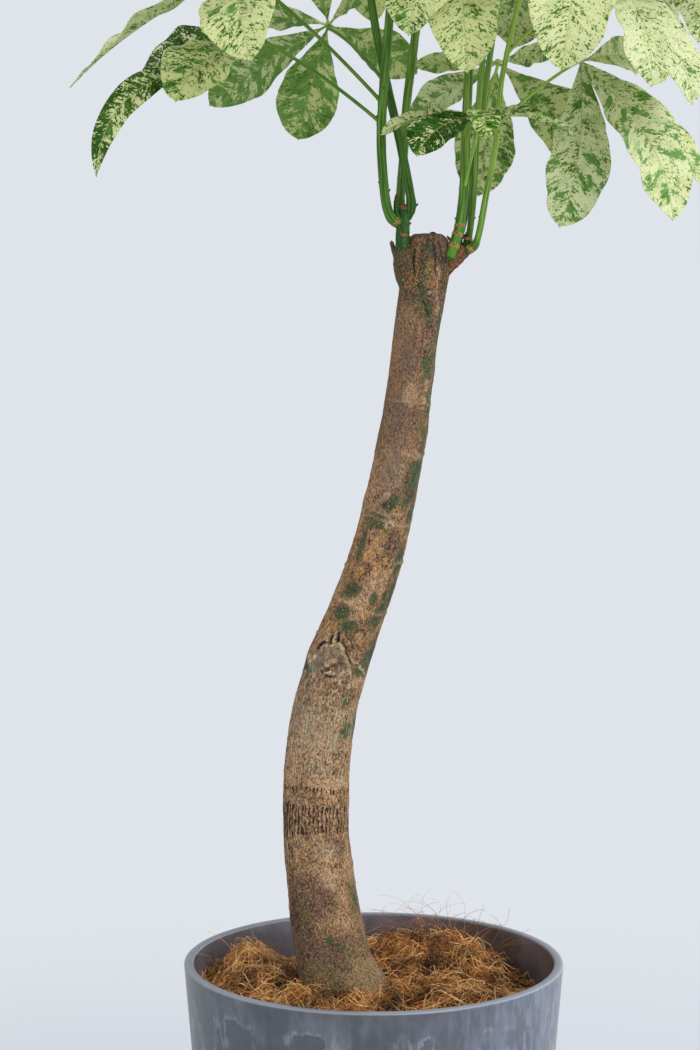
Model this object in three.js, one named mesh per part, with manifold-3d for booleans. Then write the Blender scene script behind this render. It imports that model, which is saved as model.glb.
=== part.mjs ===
// Potted money tree: a leaning woody trunk with green shoots and hand-shaped, cream-and-green
// leaves, standing in a tapered round pot filled with soil under a mat of coir.
// Millimetres, +Z up. The origin is the centre of the pot's foot, on the ground.
import * as THREE from 'three';
import { mergeVertices } from 'three/addons/utils/BufferGeometryUtils.js';
import Module from 'manifold-3d';

const wasm = await Module();
wasm.setup();

const GAP = 0.3; // clearance kept between pieces that touch

// pot
const POT_HEIGHT = 280;
const POT_RIM_RADIUS = 150;
const POT_FOOT_RADIUS = 127;
const POT_WALL = 7.5;
const POT_FLOOR = 9;
const POT_SIDES = 32;
const DRAIN_HOLES = 6;
const DRAIN_RADIUS = 8;
const DRAIN_CIRCLE = 74;
const CHANNEL_DEPTH = 3;
const CHANNEL_WIDTH = 9;

// fill
const SOIL_TOP = 220;
const COIR_LEVEL = 252;
const COIR_RINGS = [0, 0.2, 0.38, 0.55, 0.71, 0.85, 0.95, 1];
const COIR_STRANDS = 10;

// trunk: centre x, y, z, radius
const TRUNK_SIDES = 18;
const TRUNK = [
  [-2, -10, 132, 20], [-5, -12, 158, 33], [-9, -13, 190, 37], [-14, -14, 222, 36],
  [-19.5, -14, 251, 33], [-26.5, -13, 267, 32], [-31.5, -11, 282, 29.5], [-36, -8, 305, 28],
  [-39, -5, 329, 27.3], [-42.5, -1, 352, 26.2], [-44.4, 2, 376, 25.7], [-44.8, 6, 407, 26.1],
  [-43.6, 9, 438, 25.6], [-39.7, 11, 470, 25.9], [-34.6, 12, 492, 24.8], [-28, 11.8, 515, 24],
  [-21.9, 11, 534, 23.4], [-12.5, 9.5, 559, 22.1], [-4.2, 8, 582, 21.2], [4.6, 6, 612, 20.2],
  [12.5, 4, 645, 19.5], [18.6, 3, 676, 18.8], [24, 2, 707, 18.2], [28, 1, 738, 17.8],
  [31.6, 0, 770, 17.5], [35, 0, 794, 17.7], [37.6, 0, 812, 18.3], [39.6, 0, 828, 18.4],
  [40.7, 0, 840, 17.2], [41, 0, 848, 14.6], [41, 0, 851, 10.5],
];
const STUB = [[49, -2, 818], [56, -1.6, 826], [63, -1, 833], [69, 0, 839.5]];
const STUB_RADIUS = 6.2;

// green shoots: name, colour, radius at the foot and at the top, points of the centre line
const SHOOTS = [
  ['branch_left', 0x35583a, 5.9, 5.2, [[21, -13, 834], [21.5, -12, 845], [22, -11, 856],
    [23, -9, 868]]],
  ['shoot_left_front', 0x55803c, 4, 3.2, [[19, -11.5, 859], [12.5, -13.5, 864], [8, -16, 879],
    [5, -20, 923], [8, -22, 975], [12, -22, 1026], [14, -20, 1071], [20, -14, 1128]]],
  ['shoot_left_back', 0x5b8a3d, 3.6, 3.2, [[20, -4, 867], [20, -2.5, 880], [23, 2, 918],
    [25, 6, 951], [31, 12, 999], [36, 18, 1054], [41, 24, 1124]]],
  ['shoot_left_cross', 0x47733a, 3.6, 3, [[27, -12, 867], [28, -12.5, 876], [23, -13.5, 903],
    [15.5, -11.5, 938], [5, -7, 985], [-1, -3, 1018], [-8, 4, 1067], [-17, 12, 1124]]],
  ['shoot_right_front', 0x4d7c43, 4.4, 3, [[58, -5.5, 833], [63.5, -7, 849], [66, -7, 860],
    [69, -7, 889], [70, -7, 928], [72, -7, 974], [74, -4, 1028], [76, 0, 1089], [76, 4, 1146]]],
  ['shoot_right_back', 0x57803f, 2.9, 2.3, [[62, 4.5, 836], [67, 7, 852], [72, 10, 874],
    [75, 16, 898], [80, 22, 925], [85, 28, 955], [90, 34, 987], [96, 40, 1033], [102, 44, 1084]]],
  ['shoot_right_mid', 0x5f8f41, 2.7, 2.2, [[69, 4.5, 838.5], [73, 4.5, 848], [76.5, 0, 881],
    [78, -9, 920], [80, -14, 960], [82, -16, 981], [84, -18, 1012], [87, -18, 1071],
    [91, -14, 1124]]],
  ['shoot_right_end', 0x86a85a, 2.7, 2.2, [[71, -4, 837.5], [79, -5, 846], [86, -6, 882],
    [93, -8, 920], [96, -12, 961], [99, -14, 979], [105, -18, 1008], [113, -22, 1041],
    [120, -26, 1080]]],
];

// leaves. Each has its shoot, the height at which its stalk leaves the shoot, the hub where the
// leaflets meet, the way its face looks (azimuth, tilt from straight up) and its leaflets:
// tip x, y, z, then arch, roll in degrees and width over length.
const LEAVES = [
  ['leaf_01', 'shoot_left_front', 949, [-101, -34, 1049], 240, 40, [
    [-86, -130, 971, 0.16, 0, 0.4], [-227, -62, 957, 0.1, 42, 0.3],
    [-170, -20, 1072, 0.12, 20, 0.36], [-108, 46, 1118, 0.12, 0, 0.36],
    [-24, -98, 1040, 0.14, -20, 0.36]]],
  ['leaf_02', 'shoot_left_front', 934, [-86, -5, 1000], 215, 45, [
    [-157, -72, 949, 0.14, -30, 0.42], [-210, -40, 892, 0.13, -42, 0.28],
    [-184, 26, 966, 0.14, -20, 0.38], [-132, 72, 1010, 0.12, 0, 0.36]]],
  ['leaf_03', 'shoot_left_front', 965, [-36, 92, 1020], 95, 50, [
    [36, 108, 982, 0.06, -8, 0.46], [-61, 112, 929, 0.05, 0, 0.54],
    [-130, 104, 958, 0.05, 0, 0.42], [-115, 130, 1029, 0.08, 0, 0.36],
    [-60, 142, 1093, 0.1, 0, 0.36], [15, 128, 1060, 0.1, 0, 0.36]]],
  ['leaf_04', 'shoot_left_back', 1006, [54, -62, 1081], 268, 42, [
    [23, -120, 989, 0.14, 0, 0.38], [74, -112, 969, 0.14, 0, 0.4],
    [-22, -92, 1055, 0.12, 0, 0.36], [130, -100, 1046, 0.12, 0, 0.36],
    [46, -6, 1126, 0.1, 0, 0.36]]],
  ['leaf_05', 'shoot_right_mid', 1014, [146, -84, 1085], 280, 44, [
    [130, -150, 961, 0.14, 0, 0.44], [82, -140, 1030, 0.12, 0, 0.36],
    [190, -140, 1014, 0.12, 0, 0.36], [98, -50, 1104, 0.1, 0, 0.34],
    [206, -60, 1094, 0.1, 0, 0.34]]],
  ['leaf_06', 'shoot_right_front', 885, [79, -58, 938], 270, 4, [
    [4, -52, 923, 0.1, -20, 0.32], [22, -92, 908, 0.14, -32, 0.54],
    [79, -136, 914, 0.16, 0, 0.42], [128, -100, 929, 0.12, 30, 0.32],
    [151, -48, 923, 0.1, 25, 0.26]]],
  ['leaf_07', 'shoot_right_back', 915, [99, 78, 989], 90, 56, [
    [30, 104, 947, 0.05, 0, 0.34], [85, 96, 883, 0.06, 0, 0.46],
    [184, 92, 912, 0.06, 0, 0.44], [33, 104, 988, 0.06, 0, 0.28],
    [154, 120, 999, 0.06, 0, 0.34]]],
  ['leaf_08', 'shoot_right_end', 934, [159, 8, 984], 345, 62, [
    [144, 20, 856, 0.06, 60, 0.44], [227, -22, 860, 0.1, 48, 0.4],
    [256, 30, 890, 0.08, 20, 0.3], [213, 84, 990, 0.08, 0, 0.36]]],
  ['leaf_09', 'shoot_right_end', 987, [173, -34, 1050], 310, 46, [
    [201, -92, 955, 0.12, 8, 0.42], [237, -52, 945, 0.12, 8, 0.34],
    [238, 34, 1012, 0.1, 0, 0.34], [132, -120, 990, 0.12, 10, 0.34]]],
  ['leaf_10', 'shoot_right_end', 1029, [216, 20, 1086], 345, 44, [
    [242, -38, 992, 0.12, 30, 0.42], [200, -72, 1030, 0.12, 0, 0.34],
    [295, 60, 1036, 0.1, 0, 0.34], [262, 96, 1090, 0.1, 0, 0.34],
    [176, 84, 1110, 0.1, 0, 0.34]]],
  ['leaf_11', 'shoot_right_back', 1000, [112, 72, 1075], 80, 36, [
    [120, 128, 1009, 0.08, 0, 0.42], [160, 124, 1016, 0.08, 0, 0.36],
    [63, 134, 1026, 0.08, 0, 0.36], [48, 96, 1092, 0.1, 0, 0.34],
    [166, 66, 1110, 0.1, 0, 0.34]]],
  ['leaf_12', 'shoot_left_back', 1044, [-23, 30, 1099], 165, 40, [
    [-40, 8, 1023, 0.1, 30, 0.42], [-88, 60, 1059, 0.1, 0, 0.36],
    [-84, 30, 1132, 0.1, 0, 0.34], [-15, 104, 1150, 0.1, 0, 0.34],
    [-4, 92, 1048, 0.08, -30, 0.36]]],
];

// leaves of the upper crown, whose five leaflets fan out by rule: shoot, height of the stalk's
// foot, hub, azimuth, tilt, length of the longest leaflet and how far the leaflets droop
const CROWN = [
  ['leaf_13', 'shoot_left_front', 1090, [-68, -92, 1152], 248, 36, 118, 34],
  ['leaf_14', 'shoot_left_front', 1124, [4, -74, 1222], 275, 20, 112, 28],
  ['leaf_15', 'shoot_left_cross', 1096, [-108, 62, 1176], 152, 38, 118, 32],
  ['leaf_16', 'shoot_left_cross', 1120, [-74, 18, 1254], 195, 16, 114, 28],
  ['leaf_17', 'shoot_left_back', 1078, [0, 128, 1142], 104, 42, 120, 30],
  ['leaf_18', 'shoot_left_back', 1120, [32, 76, 1246], 88, 20, 112, 28],
  ['leaf_19', 'shoot_right_front', 1100, [80, -124, 1166], 272, 40, 108, 34],
  ['leaf_20', 'shoot_right_front', 1140, [76, 2, 1298], 300, 8, 114, 28],
  ['leaf_21', 'shoot_right_back', 1078, [150, 148, 1110], 66, 48, 118, 28],
  ['leaf_22', 'shoot_right_mid', 1118, [160, -54, 1224], 312, 24, 112, 28],
  ['leaf_23', 'shoot_right_end', 1074, [222, -62, 1150], 325, 40, 122, 32],
  ['leaf_24', 'shoot_right_back', 1064, [180, 60, 1202], 36, 30, 116, 28],
];
const FAN = [-140, -68, 0, 68, 140];
const BLADE_THICKNESS = 0.9;
const BLADE_STATIONS = [0, 0.22, 0.43, 0.64, 0.84, 1];
const CROWN_STATIONS = [0, 0.25, 0.53, 0.8, 1];
const HUB_RADIUS = 2.6;
const HUB_HALF_HEIGHT = 2.2;
const ROOT_INSET = 1.9;
const STALK_RADIUS = 1.7;
const STALK_SIDES = 5;
const STALK_TURN = 3;

const vec = (p) => new THREE.Vector3(p[0], p[1], p[2]);
const rad = THREE.MathUtils.degToRad;

// a solid from loose triangles, and back
function solid(points, triangles) {
  const mesh = new wasm.Mesh({
    numProp: 3,
    vertProperties: new Float32Array(points.flatMap((p) => [p.x, p.y, p.z])),
    triVerts: new Uint32Array(triangles.flat()),
  });
  return new wasm.Manifold(mesh);
}

function solidOf(geometry) {
  let plain = geometry.clone();
  plain.deleteAttribute('normal');
  plain.deleteAttribute('uv');
  plain = mergeVertices(plain, 1e-4);
  const at = plain.getAttribute('position').array;
  const raw = plain.getIndex().array;
  const index = [];
  for (let i = 0; i < raw.length; i += 3) {
    if (raw[i] !== raw[i + 1] && raw[i + 1] !== raw[i + 2] && raw[i + 2] !== raw[i]) {
      index.push(raw[i], raw[i + 1], raw[i + 2]);
    }
  }
  return new wasm.Manifold(new wasm.Mesh({
    numProp: 3,
    vertProperties: new Float32Array(at),
    triVerts: new Uint32Array(index),
  }));
}

function geometryOf(body) {
  const mesh = body.getMesh();
  const geometry = new THREE.BufferGeometry();
  geometry.setAttribute('position', new THREE.BufferAttribute(mesh.vertProperties, 3));
  geometry.setIndex(new THREE.BufferAttribute(mesh.triVerts, 1));
  geometry.computeVertexNormals();
  return geometry;
}

// the largest of the separate bodies in a solid
function largest(body) {
  return body.decompose().sort((a, b) => b.volume() - a.volume())[0];
}

// a closed skin over rings of equal count, with a fan at each end
function loft(rings) {
  const n = rings[0].length;
  const points = rings.flat();
  const middle = (ring) => ring.reduce((s, p) => s.add(p), new THREE.Vector3())
    .divideScalar(n);
  points.push(middle(rings[0]), middle(rings[rings.length - 1]));
  const first = points.length - 2;
  const last = points.length - 1;
  const triangles = [];
  for (let r = 0; r + 1 < rings.length; r += 1) {
    for (let i = 0; i < n; i += 1) {
      const j = (i + 1) % n;
      const [a, b, c, d] = [r * n + i, r * n + j, (r + 1) * n + j, (r + 1) * n + i];
      triangles.push([a, b, c], [a, c, d]);
    }
  }
  for (let i = 0; i < n; i += 1) {
    const j = (i + 1) % n;
    triangles.push([first, j, i]);
    triangles.push([last, (rings.length - 1) * n + i, (rings.length - 1) * n + j]);
  }
  return solid(points, triangles);
}

// a round rod along points, its radius given at each point
function rod(path, radii, sides) {
  const rings = [];
  let side = null;
  for (let i = 0; i < path.length; i += 1) {
    const before = path[Math.max(i - 1, 0)];
    const after = path[Math.min(i + 1, path.length - 1)];
    const along = after.clone().sub(before).normalize();
    if (!side) side = new THREE.Vector3(1, 0.13, 0.07);
    side.addScaledVector(along, -side.dot(along)).normalize();
    const across = along.clone().cross(side);
    const ring = [];
    for (let s = 0; s < sides; s += 1) {
      const a = (2 * Math.PI * s) / sides;
      ring.push(path[i].clone()
        .addScaledVector(side, radii[i] * Math.cos(a))
        .addScaledVector(across, radii[i] * Math.sin(a)));
    }
    rings.push(ring);
    side = side.clone();
  }
  return loft(rings);
}

function spline(points) {
  return new THREE.CatmullRomCurve3(points.map(vec), false, 'catmullrom', 0.5);
}

// the point of a centre line at height z
function pointAt(points, z) {
  const curve = spline(points);
  let [low, high] = [0, 1];
  for (let i = 0; i < 30; i += 1) {
    const half = (low + high) / 2;
    if (curve.getPoint(half).z < z) low = half; else high = half;
  }
  return curve.getPoint(low);
}

// pot: outside radius at height z, and the inside one
const potOutside = (z) => POT_FOOT_RADIUS + ((POT_RIM_RADIUS - POT_FOOT_RADIUS) * z) / POT_HEIGHT;
const potInside = (z) => potOutside(z) - POT_WALL;

function lathe(profile) {
  const geometry = new THREE.LatheGeometry(
    profile.map(([r, z]) => new THREE.Vector2(r, z)), POT_SIDES);
  geometry.rotateX(Math.PI / 2);
  const body = solidOf(geometry);
  return body.volume() > 0 ? body : solidOf(geometry.scale(1, 1, -1));
}

function makePot() {
  const top = POT_HEIGHT;
  let body = lathe([
    [0, 0], [potOutside(0) - 4, 0], [potOutside(4), 4],
    [potOutside(top - 2.5), top - 2.5], [potOutside(top) - 2.2, top],
    [potInside(top) + 1.8, top], [potInside(top - 2), top - 2],
    [potInside(POT_FLOOR + 6), POT_FLOOR + 6], [potInside(POT_FLOOR) - 6, POT_FLOOR],
    [0, POT_FLOOR],
  ]);
  for (let i = 0; i < DRAIN_HOLES; i += 1) {
    const a = (2 * Math.PI * (i + 0.5)) / DRAIN_HOLES;
    const hole = new THREE.CylinderGeometry(DRAIN_RADIUS, DRAIN_RADIUS, POT_FLOOR * 3, 10);
    hole.rotateX(Math.PI / 2);
    hole.translate(DRAIN_CIRCLE * Math.cos(a), DRAIN_CIRCLE * Math.sin(a), POT_FLOOR / 2);
    body = body.subtract(solidOf(hole));
    const length = POT_FOOT_RADIUS + 20 - DRAIN_CIRCLE;
    const channel = new THREE.BoxGeometry(length, CHANNEL_WIDTH, CHANNEL_DEPTH * 2);
    channel.translate(DRAIN_CIRCLE + length / 2, 0, 0);
    channel.rotateZ(a);
    body = body.subtract(solidOf(channel));
  }
  return body;
}

// trunk: rings that follow the centre line, with shallow ridges, a healed scar and small nodes
function makeTrunk(grow) {
  const curve = spline(TRUNK);
  const n = TRUNK.length;
  const rings = TRUNK.map(([x, y, z, r], i) => {
    const along = curve.getTangent(i / (n - 1));
    const right = new THREE.Vector3(1, 0, 0);
    right.addScaledVector(along, -right.dot(along)).normalize();
    const deep = along.clone().cross(right);
    const ring = [];
    for (let s = 0; s < TRUNK_SIDES; s += 1) {
      const a = (2 * Math.PI * s) / TRUNK_SIDES;
      const near = (a0, z0, wide, high) => Math.exp(
        -(((Math.cos(a - a0) - 1) * -2) / (wide * wide)) - ((z - z0) / high) ** 2);
      let bump = 0.022 * r * Math.sin(3 * a + z * 0.011) + 0.016 * r * Math.sin(5 * a - z * 0.02);
      bump += 2.6 * near(-1.75, 524, 0.5, 13) + 1.8 * near(-1.1, 541, 0.3, 9);
      bump += 1.6 * near(2.9, 516, 0.6, 12) + 1.2 * near(-0.4, 700, 0.5, 10);
      bump += 1.4 * near(0.6, 360, 0.7, 20) + 1.3 * near(3.3, 640, 0.5, 10);
      const radius = r + bump + grow;
      ring.push(new THREE.Vector3(x, y, z)
        .addScaledVector(right, radius * Math.cos(a))
        .addScaledVector(deep, radius * Math.sin(a)));
    }
    return ring;
  });
  if (grow > 0) {
    rings[0].forEach((p) => { p.z -= grow; });
    rings[n - 1].forEach((p) => { p.z += grow; });
  }
  let body = loft(rings);
  const stub = STUB.map(vec);
  if (grow > 0) {
    const out = stub[3].clone().sub(stub[2]).normalize();
    stub[3].addScaledVector(out, grow);
  }
  body = body.add(rod(stub, stub.map(() => STUB_RADIUS + grow), 10));
  // dead bud on the top cut, and the sliver of a cut twig at its left edge
  const bud = [[45, -3, 846], [45, -3, 851], [44.6, -3, 854.5]].map(vec);
  body = body.add(rod(bud, [4.4, 4, 2.4].map((r) => r + grow), 7));
  const sliver = [[29, -2, 806], [20.5, -2.5, 822], [13.5, -3, 838.5]].map(vec);
  return body.add(rod(sliver, [3, 3, 2.2].map((r) => r + grow), 6));
}

// soil up to the coir, with a plain hole for the root crown
function makeSoil(hole) {
  const body = lathe([
    [0, POT_FLOOR + GAP], [potInside(POT_FLOOR + 6) - 6 - GAP, POT_FLOOR + GAP],
    [potInside(POT_FLOOR + 6) - GAP - 0.2, POT_FLOOR + 6 + GAP],
    [potInside(SOIL_TOP) - GAP, SOIL_TOP], [0, SOIL_TOP],
  ]);
  return body.subtract(hole);
}

// height of the coir mat: heaps left and behind right of the trunk, with hollows between them
function coirHeight(x, y) {
  const hill = (cx, cy, wide, high) => high * Math.exp(
    -((x - cx) ** 2 + (y - cy) ** 2) / (wide * wide));
  let z = COIR_LEVEL + hill(-100, 42, 42, 17) + hill(44, 76, 60, 13) + hill(-62, 108, 28, -9);
  z += hill(114, 34, 38, -8) + hill(10, -90, 60, -2) + hill(70, -60, 40, 4);
  z += 1.6 * Math.sin(x * 0.19 + y * 0.07) * Math.sin(y * 0.16 - x * 0.05 + 1.3);
  return z + 1.1 * Math.sin(x * 0.31 - 0.8) * Math.sin(y * 0.27 + x * 0.09);
}

function makeCoir(hole) {
  const rings = COIR_RINGS.length;
  const points = [];
  const triangles = [];
  const turn = (s) => (2 * Math.PI * s) / POT_SIDES;
  const spot = (r, s) => [r * Math.sin(turn(s)), r * Math.cos(turn(s))];
  const centre = coirHeight(0, 0);
  points.push(new THREE.Vector3(0, 0, SOIL_TOP + GAP), new THREE.Vector3(0, 0, centre));
  for (let ring = 1; ring < rings; ring += 1) {
    for (let s = 0; s < POT_SIDES; s += 1) {
      const wide = potInside(COIR_LEVEL) * COIR_RINGS[ring];
      const [x, y] = spot(wide, s);
      const z = coirHeight(x, y) - (ring === rings - 1 ? 4 : 0);
      const edge = ring === rings - 1 ? (potInside(z) - GAP) / wide : 1;
      points.push(new THREE.Vector3(x * edge, y * edge, z));
    }
  }
  const base = points.length;
  for (let s = 0; s < POT_SIDES; s += 1) {
    const [x, y] = spot(potInside(SOIL_TOP + GAP) - GAP, s);
    points.push(new THREE.Vector3(x, y, SOIL_TOP + GAP));
  }
  const at = (ring, s) => 2 + (ring - 1) * POT_SIDES + (s % POT_SIDES);
  for (let s = 0; s < POT_SIDES; s += 1) {
    triangles.push([1, at(1, s + 1), at(1, s)]);
    for (let ring = 1; ring + 1 < rings; ring += 1) {
      triangles.push([at(ring, s), at(ring, s + 1), at(ring + 1, s + 1)]);
      triangles.push([at(ring, s), at(ring + 1, s + 1), at(ring + 1, s)]);
    }
    const [b, c] = [base + s, base + ((s + 1) % POT_SIDES)];
    triangles.push([at(rings - 1, s), at(rings - 1, s + 1), c]);
    triangles.push([at(rings - 1, s), c, b], [0, b, c]);
  }
  let body = solid(points, triangles);
  // coarse fibres that arch out of the mat
  for (let i = 0; i < COIR_STRANDS; i += 1) {
    const a = i * 2.4;
    const r = 46 + 74 * ((i * 0.618) % 1);
    const turned = i * 1.7;
    const long = 13 + 7 * Math.sin(i * 3.1);
    const path = [-1, -0.55, 0, 0.55, 1].map((t) => {
      const x = r * Math.cos(a) + t * long * Math.cos(turned) + 3 * t * t * Math.sin(turned);
      const y = r * Math.sin(a) + t * long * Math.sin(turned) - 3 * t * t * Math.cos(turned);
      return new THREE.Vector3(x, y, coirHeight(x, y) + 4.4 - 8.5 * t * t);
    });
    body = body.add(rod(path, path.map(() => 0.9), 3));
  }
  return largest(body.subtract(hole));
}

// a leaflet: its midrib runs from the hub to the tip and arches towards the leaf's face; the
// half width follows a skewed sine, and the margins lift and wave along the blade
function bladeSkin(stations, centre, tip, face, arch, roll, ratio, phase) {
  const half = BLADE_THICKNESS / 2;
  const hub = centre.clone().addScaledVector(tip.clone().sub(centre).normalize(), ROOT_INSET);
  const chord = tip.clone().sub(hub);
  const length = chord.length();
  const d = chord.clone().normalize();
  const up = face.clone().addScaledVector(d, -face.dot(d)).normalize();
  const side = up.clone().cross(d);
  const [c, s] = [Math.cos(rad(roll)), Math.sin(rad(roll))];
  const across = [];
  for (const v of stations) {
    const middle = hub.clone().addScaledVector(chord, v)
      .addScaledVector(up, 4 * arch * length * v * (1 - v));
    const along = chord.clone().addScaledVector(up, 4 * arch * length * (1 - 2 * v)).normalize();
    const n = along.clone().cross(side).negate();
    if (n.dot(up) < 0) n.negate();
    const b = side.clone().multiplyScalar(c).addScaledVector(n, s);
    const m = n.clone().multiplyScalar(c).addScaledVector(side, -s);
    const w = v === 1 ? 0
      : Math.max(0.5 * ratio * length * Math.sin(Math.PI * v ** 1.6) ** 0.9, 1);
    const row = [-1, 0, 1].map((u) => {
      const wave = 0.1 * w * Math.sin(2 * Math.PI * 1.6 * v + phase + 0.9 * u) * Math.abs(u);
      return {
        at: middle.clone().addScaledVector(b, u * w)
          .addScaledVector(m, 0.14 * w * Math.abs(u) + wave),
        m,
      };
    });
    across.push(v === 1 ? [row[1]] : row);
  }
  const points = [];
  const top = across.map((row) => row.map(({ at, m }) => {
    points.push(at.clone().addScaledVector(m, half));
    return points.length - 1;
  }));
  const low = across.map((row) => row.map(({ at, m }) => {
    points.push(at.clone().addScaledVector(m, -half));
    return points.length - 1;
  }));
  const triangles = [];
  const n = across.length;
  const face3 = (f, i, j, k, flip) => triangles.push(flip ? [f[i[0]][i[1]], f[k[0]][k[1]],
    f[j[0]][j[1]]] : [f[i[0]][i[1]], f[j[0]][j[1]], f[k[0]][k[1]]]);
  for (const [f, flip] of [[top, false], [low, true]]) {
    for (let r = 0; r + 2 < n; r += 1) {
      face3(f, [r, 0], [r, 1], [r + 1, 1], flip);
      face3(f, [r, 0], [r + 1, 1], [r + 1, 0], flip);
      face3(f, [r, 1], [r, 2], [r + 1, 1], flip);
      face3(f, [r, 2], [r + 1, 2], [r + 1, 1], flip);
    }
    face3(f, [n - 2, 0], [n - 2, 1], [n - 1, 0], flip);
    face3(f, [n - 2, 1], [n - 2, 2], [n - 1, 0], flip);
  }
  for (let r = 0; r + 1 < n; r += 1) {
    for (const u of [0, 2]) {
      const v = r + 2 < n ? u : 0;
      const [a, b] = [top[r][u], low[r][u]];
      const [e, g] = [top[r + 1][v], low[r + 1][v]];
      if (u === 0) triangles.push([a, e, g], [a, g, b]);
      else triangles.push([a, g, e], [a, b, g]);
    }
  }
  triangles.push([top[0][0], low[0][0], low[0][1]], [top[0][0], low[0][1], top[0][1]]);
  triangles.push([top[0][1], low[0][1], low[0][2]], [top[0][1], low[0][2], top[0][2]]);
  const body = solid(points, triangles);
  return body.volume() > 0 ? body : solid(points, triangles.map(([i, j, k]) => [i, k, j]));
}

const faceOf = (azimuth, tilt) => new THREE.Vector3(
  Math.sin(rad(tilt)) * Math.cos(rad(azimuth)), Math.sin(rad(tilt)) * Math.sin(rad(azimuth)),
  Math.cos(rad(tilt)));

// the fan of an upper leaf: the leaflet that hangs down the slope is the longest
function fanTips(k, hub, azimuth, tilt, length, droop) {
  const face = faceOf(azimuth, tilt);
  const down = new THREE.Vector3(Math.cos(rad(tilt)) * Math.cos(rad(azimuth)),
    Math.cos(rad(tilt)) * Math.sin(rad(azimuth)), -Math.sin(rad(tilt)));
  const across = face.clone().cross(down);
  return FAN.map((phi, i) => {
    const long = length * (1 - 0.3 * (Math.abs(phi) / 140) ** 2)
      * (1 + 0.06 * Math.sin(5.1 * k + 2.3 * i));
    const a = rad(phi + 7 * Math.sin(3.7 * k + 1.9 * i));
    const low = rad(droop + 6 * Math.sin(2.1 * k + 4.4 * i));
    const tip = vec(hub)
      .addScaledVector(down, long * Math.cos(low) * Math.cos(a))
      .addScaledVector(across, long * Math.cos(low) * Math.sin(a))
      .addScaledVector(face, -long * Math.sin(low));
    return [tip.x, tip.y, tip.z, 0.12, 8 * Math.sin(1.3 * k + 3.1 * i), 0.38];
  });
}

function makeLeaf(k, hub, azimuth, tilt, tips) {
  const face = faceOf(azimuth, tilt);
  const at = vec(hub);
  const ends = [-HUB_HALF_HEIGHT, HUB_HALF_HEIGHT].map((h) => at.clone().addScaledVector(face, h));
  let body = rod(ends, [HUB_RADIUS, HUB_RADIUS], 6);
  const stations = k > LEAVES.length ? CROWN_STATIONS : BLADE_STATIONS;
  tips.forEach(([x, y, z, arch, roll, ratio], i) => {
    body = body.add(bladeSkin(stations, at, vec([x, y, z]), face, arch, roll, ratio, k + i));
  });
  return body;
}

// a stalk from the shoot to the hub, slightly arched, with a swollen foot; its end turns to meet
// the underside of the hub squarely
function makeStalk(foot, hub, face) {
  const b = vec(hub).addScaledVector(face, -HUB_HALF_HEIGHT - GAP - STALK_TURN);
  const bend = foot.clone().lerp(b, 0.55);
  bend.z += 0.07 * foot.distanceTo(b);
  const path = new THREE.QuadraticBezierCurve3(foot, bend, b).getPoints(4);
  path.push(b.clone().addScaledVector(face, STALK_TURN));
  const radii = path.map((_, i) => STALK_RADIUS * (i === 0 ? 1.45 : 1));
  return rod(path, radii, STALK_SIDES);
}

const group = new THREE.Group();
function place(name, body, colour, roughness, metalness = 0) {
  const material = new THREE.MeshStandardMaterial({ color: colour, roughness, metalness });
  const mesh = new THREE.Mesh(geometryOf(body), material);
  mesh.name = name;
  group.add(mesh);
}

const leafRows = [...LEAVES.map((row, i) => [i + 1, ...row]),
  ...CROWN.map(([name, shoot, z, hub, azimuth, tilt, length, droop], i) => {
    const k = LEAVES.length + i + 1;
    return [k, name, shoot, z, hub, azimuth, tilt, fanTips(k, hub, azimuth, tilt, length, droop)];
  })];

const trunkHole = makeTrunk(GAP);
place('pot', makePot(), 0x74777b, 0.8);
place('soil', makeSoil(trunkHole), 0x3a2c20, 0.95);
place('coir_mulch', makeCoir(trunkHole), 0x9c7a4c, 0.95);
place('trunk', makeTrunk(0), 0x6d5a46, 0.9);

// each shoot is cut back by the gap from what carries it
const branch = SHOOTS[0];
const branchRod = (grow) => {
  const path = spline(branch[4]).getPoints(5);
  return rod(path, path.map((_, i) => branch[2] + ((branch[3] - branch[2]) * i) / 5 + grow), 10);
};
for (const [name, colour, foot, top, points] of SHOOTS) {
  const steps = 11;
  const path = spline(points).getPoints(steps);
  let body = name === branch[0] ? branchRod(0)
    : rod(path, path.map((_, i) => foot + ((top - foot) * i) / steps), 6);
  for (const [, , shoot, z, hub, azimuth, tilt] of leafRows) {
    if (shoot === name) {
      body = body.add(makeStalk(pointAt(points, z), hub, faceOf(azimuth, tilt)));
    }
  }
  body = body.subtract(trunkHole);
  if (name.startsWith('shoot_left')) body = body.subtract(branchRod(GAP));
  place(name, largest(body), colour, 0.55);
}
for (const [k, name, , , hub, azimuth, tilt, tips] of leafRows) {
  place(name, makeLeaf(k, hub, azimuth, tilt, tips), k % 3 === 1 ? 0xb9c487 : 0xa4b878, 0.5);
}

export default group;
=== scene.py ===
"""Potted money tree: the finished surfaces, materials, light, floor and camera.

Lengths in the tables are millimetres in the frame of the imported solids; a piece turns them into
metres when its mesh is made.
"""
import itertools
import math

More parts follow.
